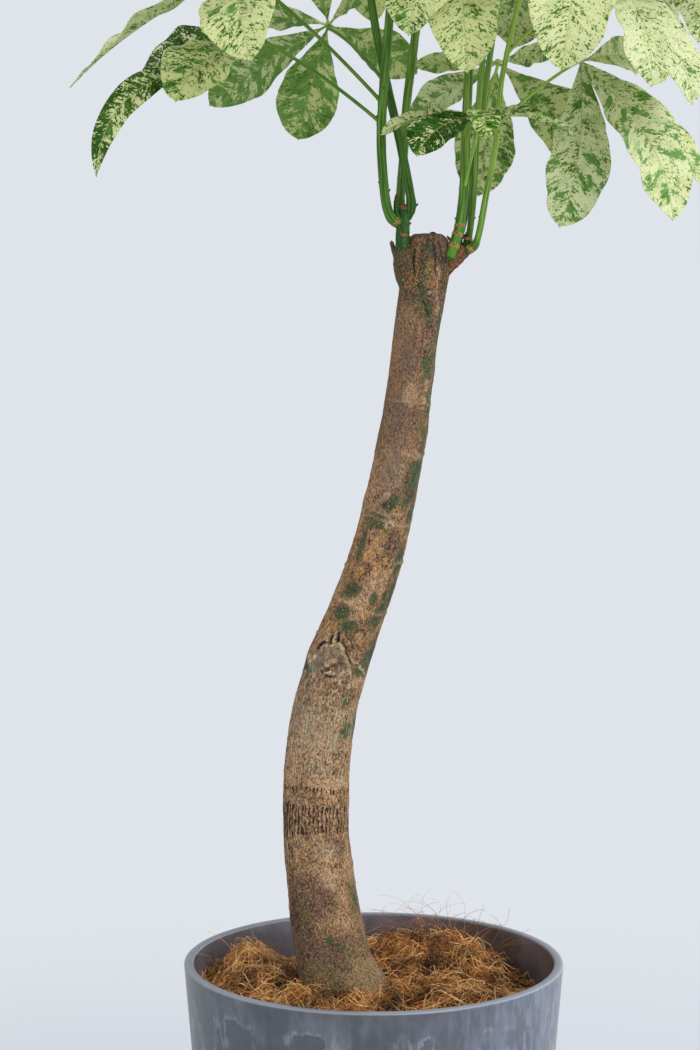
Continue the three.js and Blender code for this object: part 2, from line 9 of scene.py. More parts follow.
import bpy
import numpy as np
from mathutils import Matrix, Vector


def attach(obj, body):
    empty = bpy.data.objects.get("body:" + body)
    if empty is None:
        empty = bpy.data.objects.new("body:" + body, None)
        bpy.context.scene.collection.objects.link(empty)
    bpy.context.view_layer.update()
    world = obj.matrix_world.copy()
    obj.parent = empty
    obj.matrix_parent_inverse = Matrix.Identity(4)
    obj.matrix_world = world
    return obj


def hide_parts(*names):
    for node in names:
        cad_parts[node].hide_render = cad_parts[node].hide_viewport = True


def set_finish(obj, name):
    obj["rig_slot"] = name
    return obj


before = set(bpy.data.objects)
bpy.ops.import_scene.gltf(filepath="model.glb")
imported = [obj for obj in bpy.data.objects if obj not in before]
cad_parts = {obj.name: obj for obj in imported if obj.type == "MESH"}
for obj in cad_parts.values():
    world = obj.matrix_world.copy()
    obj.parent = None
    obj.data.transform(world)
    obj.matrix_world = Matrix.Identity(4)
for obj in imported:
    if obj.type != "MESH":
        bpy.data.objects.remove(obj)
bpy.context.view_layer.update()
MM = 0.001
TURN = 2 * math.pi

# ------------------------------------------------------------------ camera

camera = bpy.data.objects.new("camera", bpy.data.cameras.new("camera"))
bpy.context.scene.collection.objects.link(camera)
bpy.context.scene.camera = camera
camera.data.lens, camera.data.sensor_width = 85, 36
camera.location = (-0.01872, -1.9244, 0.8078)
camera.rotation_euler = (math.pi / 2 - 0.094388, 0, 0)
camera.data.clip_start, camera.data.clip_end = 0.05, 60

# ------------------------------------------------------------------ measures of the plant

POT_HEIGHT, POT_RIM_RADIUS, POT_FOOT_RADIUS, POT_WALL, POT_FLOOR = 280, 150, 127, 7.5, 9
DRAIN_HOLES, DRAIN_RADIUS, DRAIN_CIRCLE = 6, 8, 74
CHANNEL_DEPTH, CHANNEL_WIDTH = 3, 9
SOIL_TOP, COIR_LEVEL = 220, 252

# trunk: centre x, y, z, radius
TRUNK = np.array([
    [-2, -10, 132, 20], [-5, -12, 158, 33], [-9, -13, 190, 37], [-14, -14, 222, 36],
    [-19.5, -14, 251, 33], [-26.5, -13, 267, 32], [-31.5, -11, 282, 29.5], [-36, -8, 305, 28],
    [-39, -5, 329, 27.3], [-42.5, -1, 352, 26.2], [-44.4, 2, 376, 25.7], [-44.8, 6, 407, 26.1],
    [-43.6, 9, 438, 25.6], [-39.7, 11, 470, 25.9], [-34.6, 12, 492, 24.8], [-28, 11.8, 515, 24],
    [-21.9, 11, 534, 23.4], [-12.5, 9.5, 559, 22.1], [-4.2, 8, 582, 21.2], [4.6, 6, 612, 20.2],
    [12.5, 4, 645, 19.5], [18.6, 3, 676, 18.8], [24, 2, 707, 18.2], [28, 1, 738, 17.8],
    [31.6, 0, 770, 17.5], [35, 0, 794, 17.7], [37.6, 0, 812, 18.3], [39.6, 0, 828, 18.4],
    [40.7, 0, 840, 17.2], [41, 0, 848, 14.6], [41, 0, 851, 10.5]], float)
# what grows from the trunk's top, as a line and its radii: the stub at the right, the dead bud, the
# sliver at the left, and the swollen bark under the left branch and under the front right shoot
TWIGS = [
    ([[49, -2, 818], [56, -1.6, 826], [63, -1, 833], [69, 0, 839.5]], [6.6, 6.2, 6.2, 6.2]),
    ([[45, -4, 844], [45, -4, 848.5], [44.8, -4, 851.5]], [4.6, 4.3, 2.6]),
    ([[27, -3, 812], [20.5, -4, 824], [16.5, -4.5, 834], [13.2, -5, 844.5]], [4, 3.4, 2.4, 1.5]),
    ([[31, -4, 792], [27.5, -8, 808], [22.8, -12, 824], [21.8, -12.8, 839.5]], [7, 7.4, 7.9, 6.7]),
    ([[43, -3, 798], [50, -6, 811], [55, -8.5, 823]], [7, 6, 2.4]),
]

# shoots: node, how yellow, how dark, radius at the foot and at the top, centre line
SHOOTS = [
    ("branch_left", 0.0, 1.0, 5.7, 4.9, [[21, -13, 834], [21.5, -12, 845], [22, -11, 857],
     [23, -9, 871.5]]),
    ("shoot_left_front", 0.16, 0.15, 4, 3.1, [[19, -11.5, 859], [12.5, -13.5, 864], [8, -16, 879],
     [5, -20, 923], [8, -22, 975], [12, -22, 1026], [14, -20, 1071], [20, -14, 1128]]),
    ("shoot_left_back", 0.3, 0.1, 3.6, 3.1, [[20, -4, 867], [20, -2.5, 880], [23, 2, 918],
     [25, 6, 951], [31, 12, 999], [36, 18, 1054], [41, 24, 1124]]),
    ("shoot_left_cross", 0.1, 0.5, 3.6, 3, [[27, -12, 867], [28, -12.5, 876], [23, -13.5, 903],
     [15.5, -11.5, 938], [5, -7, 985], [-1, -3, 1018], [-8, 4, 1067], [-17, 12, 1124]]),
    ("shoot_right_front", 0.42, 0.2, 4.4, 3, [[58, -5.5, 833], [63.5, -7, 849], [66, -7, 860],
     [69, -7, 889], [70, -7, 928], [72, -7, 974], [74, -4, 1028], [76, 0, 1089], [76, 4, 1146]]),
    ("shoot_right_back", 0.4, 0.2, 2.9, 2.3, [[62, 4.5, 836], [67, 7, 852], [72, 10, 874],
     [75, 16, 898], [80, 22, 925], [85, 28, 955], [90, 34, 987], [96, 40, 1033],
     [102, 44, 1084]]),
    ("shoot_right_mid", 0.5, 0.1, 2.7, 1.9, [[69, 4.5, 838.5], [73, 4.5, 848], [76.5, 0, 881],
     [78, -9, 920], [80, -14, 960], [82, -16, 981], [84, -18, 1012], [87, -18, 1071],
     [91, -14, 1124]]),
    ("shoot_right_end", 0.8, 0.0, 2.7, 1.7, [[71, -4, 837.5], [79, -5, 846], [86, -6, 882],
     [93, -8, 920], [96, -12, 961], [99, -14, 979], [105, -18, 1008], [113, -22, 1041],
     [120, -26, 1080]]),
]

# brown collars along a shoot, how much its foot swells and how dark it is there, and buds: shoot,
# height, angle round it and size
COLLARS = {"branch_left": [36.5], "shoot_left_front": [2.6], "shoot_left_back": [1],
           "shoot_left_cross": [], "shoot_right_front": [9.5, 18.5, 25], "shoot_right_back": [4],
           "shoot_right_mid": [9.5], "shoot_right_end": [3]}
SWELL = {"branch_left": 0.0, "shoot_right_mid": 0.35, "shoot_right_end": 0.3,
         "shoot_right_back": 0.3}
DARK_FOOT = {"shoot_right_mid": 0.9, "shoot_right_end": 0.6, "shoot_right_back": 0.8,
             "shoot_right_front": -0.3}
# where the foot of a shoot runs on inside the wood it grows from
ROOTS = {"branch_left": [[23.5, -10.5, 832], [26, -8, 824]],
         "shoot_left_back": [[21, -6, 862], [22, -8, 858]],
         "shoot_left_cross": [[25.5, -10.5, 864], [23, -9, 860]],
         "shoot_right_front": [[55.4, -4.2, 833], [54, -1, 828]],
         "shoot_right_back": [[58, 3, 828], [52, 1, 816]]}
BUDS = [("branch_left", 858, -0.2, 0.7), ("branch_left", 862, 0.1, 0.9),
        ("branch_left", 851, -0.5, 0.5), ("shoot_left_cross", 872, -0.1, 0.8),
        ("shoot_left_cross", 884, -1.2, 0.5), ("shoot_left_front", 883, -0.3, 0.7),
        ("shoot_left_back", 871, -2.8, 0.7), ("shoot_right_front", 846, 3.0, 1.3),
        ("shoot_right_front", 896, 3.1, 0.9), ("shoot_right_back", 848, -0.3, 1.2),
        ("shoot_right_mid", 850, -2.2, 1.0), ("shoot_right_mid", 866, -2.9, 0.5),
        ("shoot_right_end", 893, 2.9, 0.8)]

# leaves: node, shoot, height at which the stalk leaves it, hub, way the face looks (azimuth and
# tilt from straight up), and the leaflets: tip, arch, roll in degrees, width over length, the share
# of the blade that is green, and for some how hooked the midrib is and how full the blade's foot
LEAVES = [
    ("leaf_01", "shoot_left_front", 949, [-101, -34, 1049], 240, 40, [
        [-89, -130, 970, 0.16, 0, 0.48, 0.36], [-227, -62, 957, 0.05, 36, 0.34, 0.3],
        [-170, -20, 1072, 0.12, 20, 0.36, 0.3], [-108, 46, 1118, 0.12, 0, 0.36, 0.3],
        [-24, -98, 1040, 0.14, -20, 0.36, 0.3]]),
    ("leaf_02", "shoot_left_front", 934, [-86, -5, 1000], 215, 45, [
        [-148, -71, 946, 0.11, -34, 0.5, 0.42], [-210, -40, 892, 0.17, -44, 0.14, 0.76, 1.5, 0.85],
        [-184, 26, 966, 0.14, -20, 0.38, 0.85], [-132, 72, 1010, 0.12, 0, 0.36, 0.8]]),
    ("leaf_03", "shoot_left_front", 965, [-36, 92, 1020], 95, 50, [
        [36, 108, 982, 0.06, -8, 0.46, 0.55], [-61, 112, 929, 0.05, 0, 0.54, 0.7],
        [-133, 104, 956, 0.05, 0, 0.4, 0.62], [-115, 130, 1029, 0.08, 0, 0.36, 0.5],
        [-60, 142, 1093, 0.1, 0, 0.36, 0.5], [15, 128, 1060, 0.1, 0, 0.36, 0.5]]),
    ("leaf_04", "shoot_left_back", 1006, [54, -62, 1081], 268, 42, [
        [23, -120, 989, 0.14, 0, 0.5, 0.32], [66, -112, 963, 0.14, 0, 0.42, 0.34],
        [-22, -92, 1055, 0.12, 0, 0.36, 0.3], [130, -100, 1046, 0.12, 0, 0.36, 0.3],
        [46, -6, 1126, 0.1, 0, 0.36, 0.3]]),
    ("leaf_05", "shoot_right_mid", 1014, [146, -84, 1085], 280, 44, [
        [130, -150, 961, 0.14, 0, 0.44, 0.24], [82, -140, 1030, 0.12, 0, 0.36, 0.2],
        [190, -140, 1014, 0.12, 0, 0.36, 0.3], [98, -50, 1104, 0.1, 0, 0.34, 0.3],
        [206, -60, 1094, 0.1, 0, 0.34, 0.3]]),
    ("leaf_06", "shoot_right_front", 885, [79, -58, 938], 270, 4, [
        [4, -52, 923, 0.1, -20, 0.3, 0.5], [30, -92, 905, 0.14, -32, 0.56, 0.87],
        [79, -130, 915, 0.16, 0, 0.34, 0.66], [128, -100, 927, 0.12, 30, 0.22, 0.62],
        [151, -48, 922, 0.1, 25, 0.2, 0.55]]),
    ("leaf_07", "shoot_right_back", 915, [99, 78, 989], 90, 56, [
        [30, 104, 947, 0.05, 0, 0.34, 0.45], [85, 96, 883, 0.06, 0, 0.46, 0.47],
        [184, 92, 912, 0.06, 0, 0.44, 0.45], [33, 104, 988, 0.06, 0, 0.28, 0.45],
        [154, 120, 999, 0.06, 0, 0.34, 0.45]]),
    ("leaf_08", "shoot_right_end", 934, [159, 8, 984], 345, 62, [
        [144, 20, 856, 0.06, 60, 0.4, 0.34, 0.3, 0.55],
        [227, -22, 860, 0.1, 48, 0.4, 0.36, 0.5, 0.5],
        [256, 30, 890, 0.08, 20, 0.3, 0.35], [213, 84, 990, 0.08, 0, 0.36, 0.35]]),
    ("leaf_09", "shoot_right_end", 987, [173, -34, 1050], 310, 46, [
        [201, -92, 955, 0.12, 8, 0.55, 0.22], [237, -52, 945, 0.12, 8, 0.34, 0.22],
        [238, 34, 1012, 0.1, 0, 0.34, 0.25], [132, -120, 990, 0.12, 10, 0.34, 0.25]]),
    ("leaf_10", "shoot_right_end", 1029, [216, 20, 1086], 345, 44, [
        [242, -38, 992, 0.12, 30, 0.42, 0.3], [200, -72, 1030, 0.12, 0, 0.34, 0.3],
        [295, 60, 1036, 0.1, 0, 0.34, 0.3], [262, 96, 1090, 0.1, 0, 0.34, 0.3],
        [176, 84, 1110, 0.1, 0, 0.34, 0.3]]),
    ("leaf_11", "shoot_right_back", 1000, [112, 72, 1075], 80, 36, [
        [116, 124, 1004, 0.08, 0, 0.62, 0.34], [160, 124, 1012, 0.08, 0, 0.5, 0.34],
        [63, 134, 1026, 0.08, 0, 0.36, 0.4], [48, 96, 1092, 0.1, 0, 0.34, 0.4],
        [166, 66, 1110, 0.1, 0, 0.34, 0.4]]),
    ("leaf_12", "shoot_left_back", 1044, [-23, 30, 1099], 165, 40, [
        [-40, 8, 1023, 0.1, 30, 0.42, 0.4], [-88, 60, 1059, 0.1, 0, 0.36, 0.4],
        [-84, 30, 1132, 0.1, 0, 0.34, 0.4], [-15, 104, 1150, 0.1, 0, 0.34, 0.4],
        [-4, 92, 1048, 0.08, -30, 0.36, 0.4]]),
]
# leaves of the upper crown, whose leaflets fan out by rule: node, shoot, height of the stalk's
# foot, hub, azimuth, tilt, length of the longest leaflet and how far the leaflets droop
CROWN = [
    ("leaf_13", "shoot_left_front", 1090, [-68, -92, 1152], 248, 36, 118, 34),
    ("leaf_14", "shoot_left_front", 1124, [4, -74, 1222], 275, 20, 112, 28),
    ("leaf_15", "shoot_left_cross", 1096, [-108, 62, 1176], 152, 38, 118, 32),
    ("leaf_16", "shoot_left_cross", 1120, [-74, 18, 1254], 195, 16, 114, 28),
    ("leaf_17", "shoot_left_back", 1078, [0, 128, 1142], 104, 42, 120, 30),
    ("leaf_18", "shoot_left_back", 1120, [32, 76, 1246], 88, 20, 112, 28),
    ("leaf_19", "shoot_right_front", 1100, [80, -124, 1166], 272, 40, 108, 34),
    ("leaf_20", "shoot_right_front", 1140, [76, 2, 1298], 300, 8, 114, 28),
    ("leaf_21", "shoot_right_back", 1078, [150, 148, 1110], 66, 48, 118, 28),
    ("leaf_22", "shoot_right_mid", 1118, [160, -54, 1224], 312, 24, 112, 28),
    ("leaf_23", "shoot_right_end", 1074, [222, -62, 1150], 325, 40, 122, 32),
    ("leaf_24", "shoot_right_back", 1064, [180, 60, 1202], 36, 30, 116, 28),
]
FAN = [-140, -68, 0, 68, 140]
# leaves whose green is flat and pale rather than in dark flecks
FLAT = {"leaf_03": 1.0, "leaf_07": 0.6, "leaf_08": 0.6, "leaf_12": 0.4, "leaf_17": 0.6,
        "leaf_21": 0.5}
HUB_RADIUS, HUB_HALF_HEIGHT, ROOT_INSET = 2.6, 2.2, 1.9
# lateral veins: how far they fall back on the way out, and their spacing; half the blade's
# thickness
VEIN_SLANT, VEIN_SPACING, BLADE_HALF = 0.55, 9, 0.34
STALK_RADIUS, STALK_TURN, GAP = 1.7, 3, 0.3


# ------------------------------------------------------------------ shapes as arrays

def unit(v):
    """The vectors, each divided by its own length."""
    return v / np.maximum(np.linalg.norm(v, axis=-1, keepdims=True), 1e-12)


def eased(low, high, x):
    """0 below low, 1 above high, and 3f² - 2f³ between, f being the share of the way."""
    f = np.clip((x - low) / (high - low), 0, 1)
    return f * f * (3 - 2 * f)


def hump(x):
    """A smooth hump, e to the minus x²."""
    return np.exp(-x * x)


def turns(count):
    """The angles of even steps round a circle."""
    return np.linspace(0, TURN, count, endpoint=False)


def outward(turn):
    """The level direction at an angle."""
    return np.array([math.cos(turn), math.sin(turn), 0.0])


def lengths(path):
    """How far along a path each of its points lies."""
    return np.concatenate([[0], np.cumsum(np.linalg.norm(np.diff(path, axis=0), axis=1))])


def lattice(p, seed):
    """Random values from 0 to 1 at whole-number points of space, eased between the eight corners
    round each point. A corner's value is the fraction of a large sine of its coordinates."""
    base = np.floor(p)
    f = p - base
    f = f * f * (3 - 2 * f)
    total = 0
    for corner in itertools.product((0, 1), repeat=3):
        sine = np.sin((base + corner) @ (127.1, 311.7, 74.7) + seed * 53.7) * 43758.5453
        total = total + (sine - np.floor(sine)) * np.prod(np.where(corner, f, 1 - f), axis=-1)
    return total


def rough(p, seed, octaves=4):
    """Uneven field of about -1 to 1: lattices of doubling fineness and halving strength."""
    return sum((lattice(p * 2.0 ** k, seed + 7 * k) - 0.5) * 0.5 ** k for k in range(octaves)) * 1.6


def curve(points, t):
    """Smooth line through the points, at shares t: between two points a cubic whose slopes at them
    are half the step from the point before to the point after. The ends are run on by mirroring.
    Gives the places and the directions."""
    points = np.asarray(points, float)
    run = np.vstack([2 * points[0] - points[1], points, 2 * points[-1] - points[-2]])
    p = np.clip(t, 0, 1) * (len(points) - 1)
    i = np.minimum(p.astype(int), len(points) - 2)
    w = (p - i)[..., None]
    a, b, c, d = run[i], run[i + 1], run[i + 2], run[i + 3]
    s, e = 0.5 * (c - a), 0.5 * (d - b)
    place = b + s * w + (3 * (c - b) - 2 * s - e) * w ** 2 + (2 * (b - c) + s + e) * w ** 3
    return place, s + 2 * (3 * (c - b) - 2 * s - e) * w + 3 * (2 * (b - c) + s + e) * w ** 2


def point_at(points, share):
    """The place at one share of a smooth line."""
    return curve(points, np.array([share]))[0][0]


def even_shares(points, count):
    """Shares t of a smooth line at which count places lie the same length apart."""
    t = np.linspace(0, 1, 40 * len(points))
    far = lengths(curve(points, t)[0][:, :3])
    return np.interp(np.linspace(0, far[-1], count), far, t)


def share_at(points, z):
    """Share t at which a rising smooth line reaches height z, by halving."""
    low, high = 0.0, 1.0
    for _ in range(30):
        half = (low + high) / 2
        low, high = (half, high) if point_at(points, half)[2] < z else (low, half)
    return low


def tube(path, radius, sides, reference):
    """Rings round a path. Each ring's side direction is the reference made square to the path
    there; a point is the centre + radius times (side cos a + across sin a)."""
    ahead = unit(np.gradient(path, axis=-2))
    reference = np.broadcast_to(reference, path.shape)
    side = unit(reference - ahead * (reference * ahead).sum(-1, keepdims=True))
    across = np.cross(ahead, side)
    a = turns(sides)[:, None]
    radius = np.asarray(radius)
    radius = radius[..., None, None] if radius.ndim < path.ndim else radius[..., None]
    return (path[..., None, :] + radius * (side[..., None, :] * np.cos(a)
                                           + across[..., None, :] * np.sin(a)))


class Skin:
    """A piece's closed shells: rings of points, joined by four-sided faces, with a fan at each end.
    Named values with three numbers each go with the points, for the materials to read."""

    def __init__(self):
        self.points, self.quads, self.fans, self.values, self.count = [], [], [], {}, 0

    def add(self, rings, **values):
        """Adds shells of rings × points × 3, or many at once. A shell whose enclosed volume comes
        out negative is turned over, so faces point outwards."""
        rings = rings[None] if rings.ndim == 3 else rings
        n, r, c = rings.shape[:3]
        ids = self.count + np.arange(n * r * c).reshape(n, r, c)
        ends = self.count + n * r * c + np.arange(2 * n).reshape(n, 2)
        after = np.roll(ids, -1, axis=2)
        quads = np.stack([ids[:, :-1], after[:, :-1], after[:, 1:], ids[:, 1:]], -1)
        first = np.stack([np.broadcast_to(ends[:, :1], (n, c)), after[:, 0], ids[:, 0]], -1)
        last = np.stack([np.broadcast_to(ends[:, 1:], (n, c)), ids[:, -1], after[:, -1]], -1)
        fans = np.concatenate([first, last], 1)
        points = np.concatenate([rings.reshape(-1, 3), rings[:, [0, -1]].mean(2).reshape(-1, 3)])
        local = points[quads.reshape(n, -1, 4) - self.count] - rings.mean((1, 2))[:, None, None]
        volume = (np.cross(local[:, :, 0], local[:, :, 1]) * local[:, :, 2]
                  + np.cross(local[:, :, 0], local[:, :, 2]) * local[:, :, 3]).sum((1, 2))
        turned = volume < 0
        quads, fans = quads.reshape(n, -1, 4), fans.reshape(n, -1, 3)
        quads[turned], fans[turned] = quads[turned][:, :, ::-1], fans[turned][:, :, ::-1]
        self.points.append(points)
        self.quads.append(quads.reshape(-1, 4))
        self.fans.append(fans.reshape(-1, 3))
        for name, value in values.items():
            value = np.broadcast_to(np.stack(np.broadcast_arrays(*value), -1), (n, r, c, 3))
            self.values.setdefault(name, []).append(np.concatenate(
                [value.reshape(-1, 3), value[:, [0, -1]].mean(2).reshape(-1, 3)]))
        self.count += len(points)

    def piece(self, name, material, slot, *nodes):
        """Makes the mesh object, gives it its material, and lets it stand for the CAD nodes."""
        mesh = bpy.data.meshes.new(name)
        points = np.concatenate(self.points) * MM
        quads, fans = np.concatenate(self.quads), np.concatenate(self.fans)
        mesh.vertices.add(len(points))
        mesh.vertices.foreach_set("co", points.astype(np.float32).ravel())
        mesh.loops.add(quads.size + fans.size)
        mesh.loops.foreach_set("vertex_index", np.concatenate(
            [quads.ravel(), fans.ravel()]).astype(np.int32))
        mesh.polygons.add(len(quads) + len(fans))
        mesh.polygons.foreach_set("loop_start", np.concatenate(
            [4 * np.arange(len(quads)), quads.size + 3 * np.arange(len(fans))]).astype(np.int32))
        for key, value in self.values.items():
            field = mesh.attributes.new(key, "FLOAT_VECTOR", "POINT")
            field.data.foreach_set("vector", np.concatenate(value).astype(np.float32).ravel())
        mesh.update(calc_edges=True)
        mesh.validate()
        mesh.shade_smooth()
        mesh.materials.append(material)
        obj = bpy.data.objects.new(name, mesh)
        bpy.context.scene.collection.objects.link(obj)
        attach(obj, "root")
        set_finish(obj, slot)
        if nodes:
            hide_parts(*nodes)
        return obj


# ------------------------------------------------------------------ shader helpers

def paint(red, green, blue):
    """A colour given by its screen values of 0 to 255, turned to linear light."""
    c = np.array([red, green, blue]) / 255
    return (*np.where(c < 0.04045, c / 12.92, ((c + 0.055) / 1.055) ** 2.4).tolist(), 1.0)


class Value:
    """A number, vector or colour that a shader tree works out. Arithmetic on it adds nodes."""

    def __init__(self, socket):
        self.socket = socket

    def maths(self, operation, b=0.0, c=0.0):
        """Result of one step of arithmetic."""
        return put("Math", {0: self, 1: b, 2: c}, operation=operation)

    def __add__(self, other):
        return self.maths("ADD", other)

    def __mul__(self, other):
        return self.maths("MULTIPLY", other)

    def __sub__(self, other):
        return self.maths("SUBTRACT", other)

    def __rsub__(self, other):
        return self.maths("MULTIPLY_ADD", -1.0, other)


def fill(node, into):
    """Gives a node its inputs: plain values, or values that other nodes work out."""
    for key, value in into.items():
        if isinstance(value, Value):
            node.id_data.links.new(value.socket, node.inputs[key])
        else:
            node.inputs[key].default_value = value
    return node


def put(kind, into, out=0, tree=None, **settings):
    """An output of a new node of that kind, in the tree of the values that go into it."""
    tree = tree or next(v.socket.id_data for v in into.values() if isinstance(v, Value))
    node = tree.nodes.new("ShaderNode" + kind)
    for key, value in settings.items():
        setattr(node, key, value)
    return Value(fill(node, into).outputs[out])


def scaled(vector, factors):
    """The vector times the three factors."""
    return put("VectorMath", {0: vector, 1: factors}, operation="MULTIPLY")


def joined(x, y, z):
    """A vector of three values."""
    return put("CombineXYZ", {0: x, 1: y, 2: z})


def parts(vector):
    """The three numbers of a vector."""
    return [Value(socket) for socket in put("SeparateXYZ", {0: vector}).socket.node.outputs]


def cloud(vector, scale=1.0, detail=3.0, roughness=0.55):
    """Smooth noise of about 0.5 on average."""
    return put("TexNoise", {"Vector": vector, "Scale": scale, "Detail": detail,
                            "Roughness": roughness})


def tint(share, a, b, how="MIX"):
    """Colour a turned towards colour b by a share. Three plain numbers are screen values."""
    a, b = (paint(*c) if isinstance(c, tuple) and len(c) == 3 else c for c in (a, b))
    return put("Mix", {0: share, 6: a, 7: b}, 2, data_type="RGBA", blend_type=how,
               clamp_factor=True)


def coated(colour, *coats):
    """The colour under coats that are laid on in turn, each a share and a colour."""
    for share, coat in coats:
        colour = tint(share, colour, coat)
    return colour


def ramp(value, *stops):
    """Colour read from a ramp of stops: place, and screen values of red, green and blue."""
    colour = put("ValToRGB", {0: value})
    elements = colour.socket.node.color_ramp.elements
    while len(elements) < len(stops):
        elements.new(0.5)
    for element, (place, *screen) in zip(elements, stops):
        element.position, element.color = place, paint(*screen)
    return colour


def fields(tree, *names):
    """The three numbers that a piece carries under each name."""
    return [parts(put("Attribute", {}, "Vector", tree, attribute_name=name)) for name in names]


def object_place(tree):
    return put("TexCoord", {}, "Object", tree)


def group(name, inputs, outputs, build):
    """A node group whose inputs and outputs have names and kinds, filled by a function that gives
    what goes into its outputs."""
    tree = bpy.data.node_groups.new(name, "ShaderNodeTree")
    for way, sockets in ("INPUT", inputs), ("OUTPUT", outputs):
        for label, kind in sockets.items():
            tree.interface.new_socket(name=label, in_out=way, socket_type="NodeSocket" + kind)
    given = tree.nodes.new("NodeGroupInput").outputs
    fill(tree.nodes.new("NodeGroupOutput"), build(*(Value(given[label]) for label in inputs)))
    return tree


def step_nodes(value, edge, soft):
    """Mask that is 0 where a value is below Edge and 1 where it is over Edge + Soft."""
    return {"Mask": put("MapRange", {"Value": value, "From Min": edge, "From Max": edge + soft},
                        interpolation_type="SMOOTHSTEP")}


SOFT_STEP = group("soft_step", {"Value": "Float", "Edge": "Float", "Soft": "Float"},
                  {"Mask": "Float"}, step_nodes)


def mask(value, edge, soft):
    """Where a value is over an edge, with a soft border."""
    return put("Group", {"Value": value, "Edge": edge, "Soft": soft}, "Mask",
               node_tree=SOFT_STEP)


def mottle_nodes(place, stretch, size, edge, soft):
    """Patches with ragged borders: noise of the place, stretched and cut off at an edge."""
    noise = cloud(scaled(place, stretch), size, 4, 0.6)
    return {"Mask": mask(noise, edge, soft), "Noise": noise}


MOTTLE = group("mottle", {"Place": "Vector", "Stretch": "Vector", "Size": "Float",
                          "Edge": "Float", "Soft": "Float"},
               {"Mask": "Float", "Noise": "Float"}, mottle_nodes)


def mottle(place, stretch, size, edge=0.5, soft=0.1, out="Noise"):
    """The plain noise of a patchy field, or its Mask; size in cycles per metre."""
    return put("Group", {"Place": place, "Stretch": stretch, "Size": size, "Edge": edge,
                         "Soft": soft}, out, node_tree=MOTTLE)


def uprights(place, *rows):
    """Noises that are drawn out upwards, each by its height's factor and its size."""
    return [mottle(place, (1, 1, factor), size) for factor, size in rows]


def bump_nodes(coarse, coarse_depth, fine, fine_depth):
    """Surface normal from two heights, coarse and fine, in metres of relief."""
    normal = put("Bump", {"Strength": 1.0, "Distance": coarse_depth, "Height": coarse})
    return {"Normal": put("Bump", {"Strength": 1.0, "Distance": fine_depth, "Height": fine,
                                   "Normal": normal})}


BUMPS = group("two_bumps", {"Coarse": "Float", "Coarse depth": "Float", "Fine": "Float",
                            "Fine depth": "Float"}, {"Normal": "Vector"}, bump_nodes)


def bumps(coarse, coarse_depth, fine, fine_depth):
    return put("Group", {"Coarse": coarse, "Coarse depth": coarse_depth, "Fine": fine,
                         "Fine depth": fine_depth}, "Normal", node_tree=BUMPS)


def material(name, build):
    """A material whose build function gives the Principled's sockets, and if need be a function
    that adds to its shader."""
    made = bpy.data.materials.new(name)
    made.use_nodes = True
    tree = made.node_tree
    tree.nodes.clear()
    sockets, finish = build(tree)
    shader = put("BsdfPrincipled", sockets, tree=tree)
    if finish:
        shader = finish(shader)
    fill(tree.nodes.new("ShaderNodeOutputMaterial"), {"Surface": shader})
    return made


# ------------------------------------------------------------------ materials

def leaf_finish(tree):
    """Variegated blade. Veins leave the midrib at a slant, so places are measured along the midrib
    less VEIN_SLANT of the way out, and flecks are stretched along the veins. The leaflet's own two
    thresholds set where noises of falling size are cut into dark flecks and into flat middle-green
    patches on the cream, and its depth turns the greens from fresh to dark."""
    blade, mark, second = fields(tree, "blade", "mark", "second")
    out = blade[1].maths("ABSOLUTE")
    rib = blade[0] - out * VEIN_SLANT
    place = joined(rib, out, blade[1].maths("SIGN") * 1.7 + blade[2] * 3.7)
    patch, streak, speck, dot, other, wash = (
        cloud(scaled(place, stretch), 1, detail, roughness) for stretch, detail, roughness in [
            ((0.6, 0.42, 1), 3, 0.6), ((4.2, 1.6, 1), 3, 0.6), ((9.5, 5.2, 1.7), 2, 0.5),
            ((7.5, 5.5, 2.9), 1, 0.5), ((1.2, 0.7, 2.3), 4, 0.66), ((0.9, 0.5, 3.1), 4, 0.6)])
    fleck = streak * 0.7 + speck * 0.6
    level = patch * 0.5 + fleck
    dark = mask(level, mark[0], 0.02).maths("MAXIMUM", mask(level * 0.25 + dot, 0.885, 0.02))
    middle = mask(fleck * 0.32 + other, second[0], 0.02)
    warm = (blade[2] * 5.3).maths("SINE") * 0.5 + 0.5
    fresh = tint(mask(speck, 0.4, 0.25), (34, 80, 12), (82, 130, 36))
    deep = tint(mask(streak, 0.42, 0.25), (20, 62, 6), (54, 108, 20))
    soft = tint(mask(other, 0.45, 0.2), (130, 176, 82), (104, 156, 64))
    # pale midrib, and thin pale lateral veins 0.9 cm apart
    wave = (rib * (TURN / (VEIN_SPACING / 10))).maths("COSINE")
    midrib = 1.0 - mask(out, 0.025, 0.045)
    colour = coated(
        tint(warm, (221, 226, 160), (234, 238, 192)),
        (mask(patch, 0.46, 0.2) * 0.45, (206, 216, 132)),
        (mask(wash, 0.56, 0.05) * 0.3, (160, 190, 104)),
        (middle * 0.95, tint(mark[2], soft, (62, 118, 28))),
        (dark, tint(mark[2], fresh, deep)),
        (mask(wave, 0.965, 0.03) * 0.22, (186, 204, 112)),
        (midrib * 0.6, (186, 202, 108)),
        # the underside is a little duller
        (mark[1] * 0.1, (160, 186, 112)))
    normal = bumps(wave * -0.5 - midrib, 0.00022, speck, 0.00016)

    def through(shader):
        light = tint(1.0, colour, (0.94, 0.93, 0.7, 1), "MULTIPLY")
        clear = put("BsdfTranslucent", {"Color": light, "Normal": normal})
        return put("MixShader", {0: 0.32, 1: shader, 2: clear})

    return {"Base Color": colour, "Roughness": speck * 0.14 + (mark[1] * 0.22 + 0.34),
            "Normal": normal, "IOR": 1.42, "Specular IOR Level": 0.25}, through


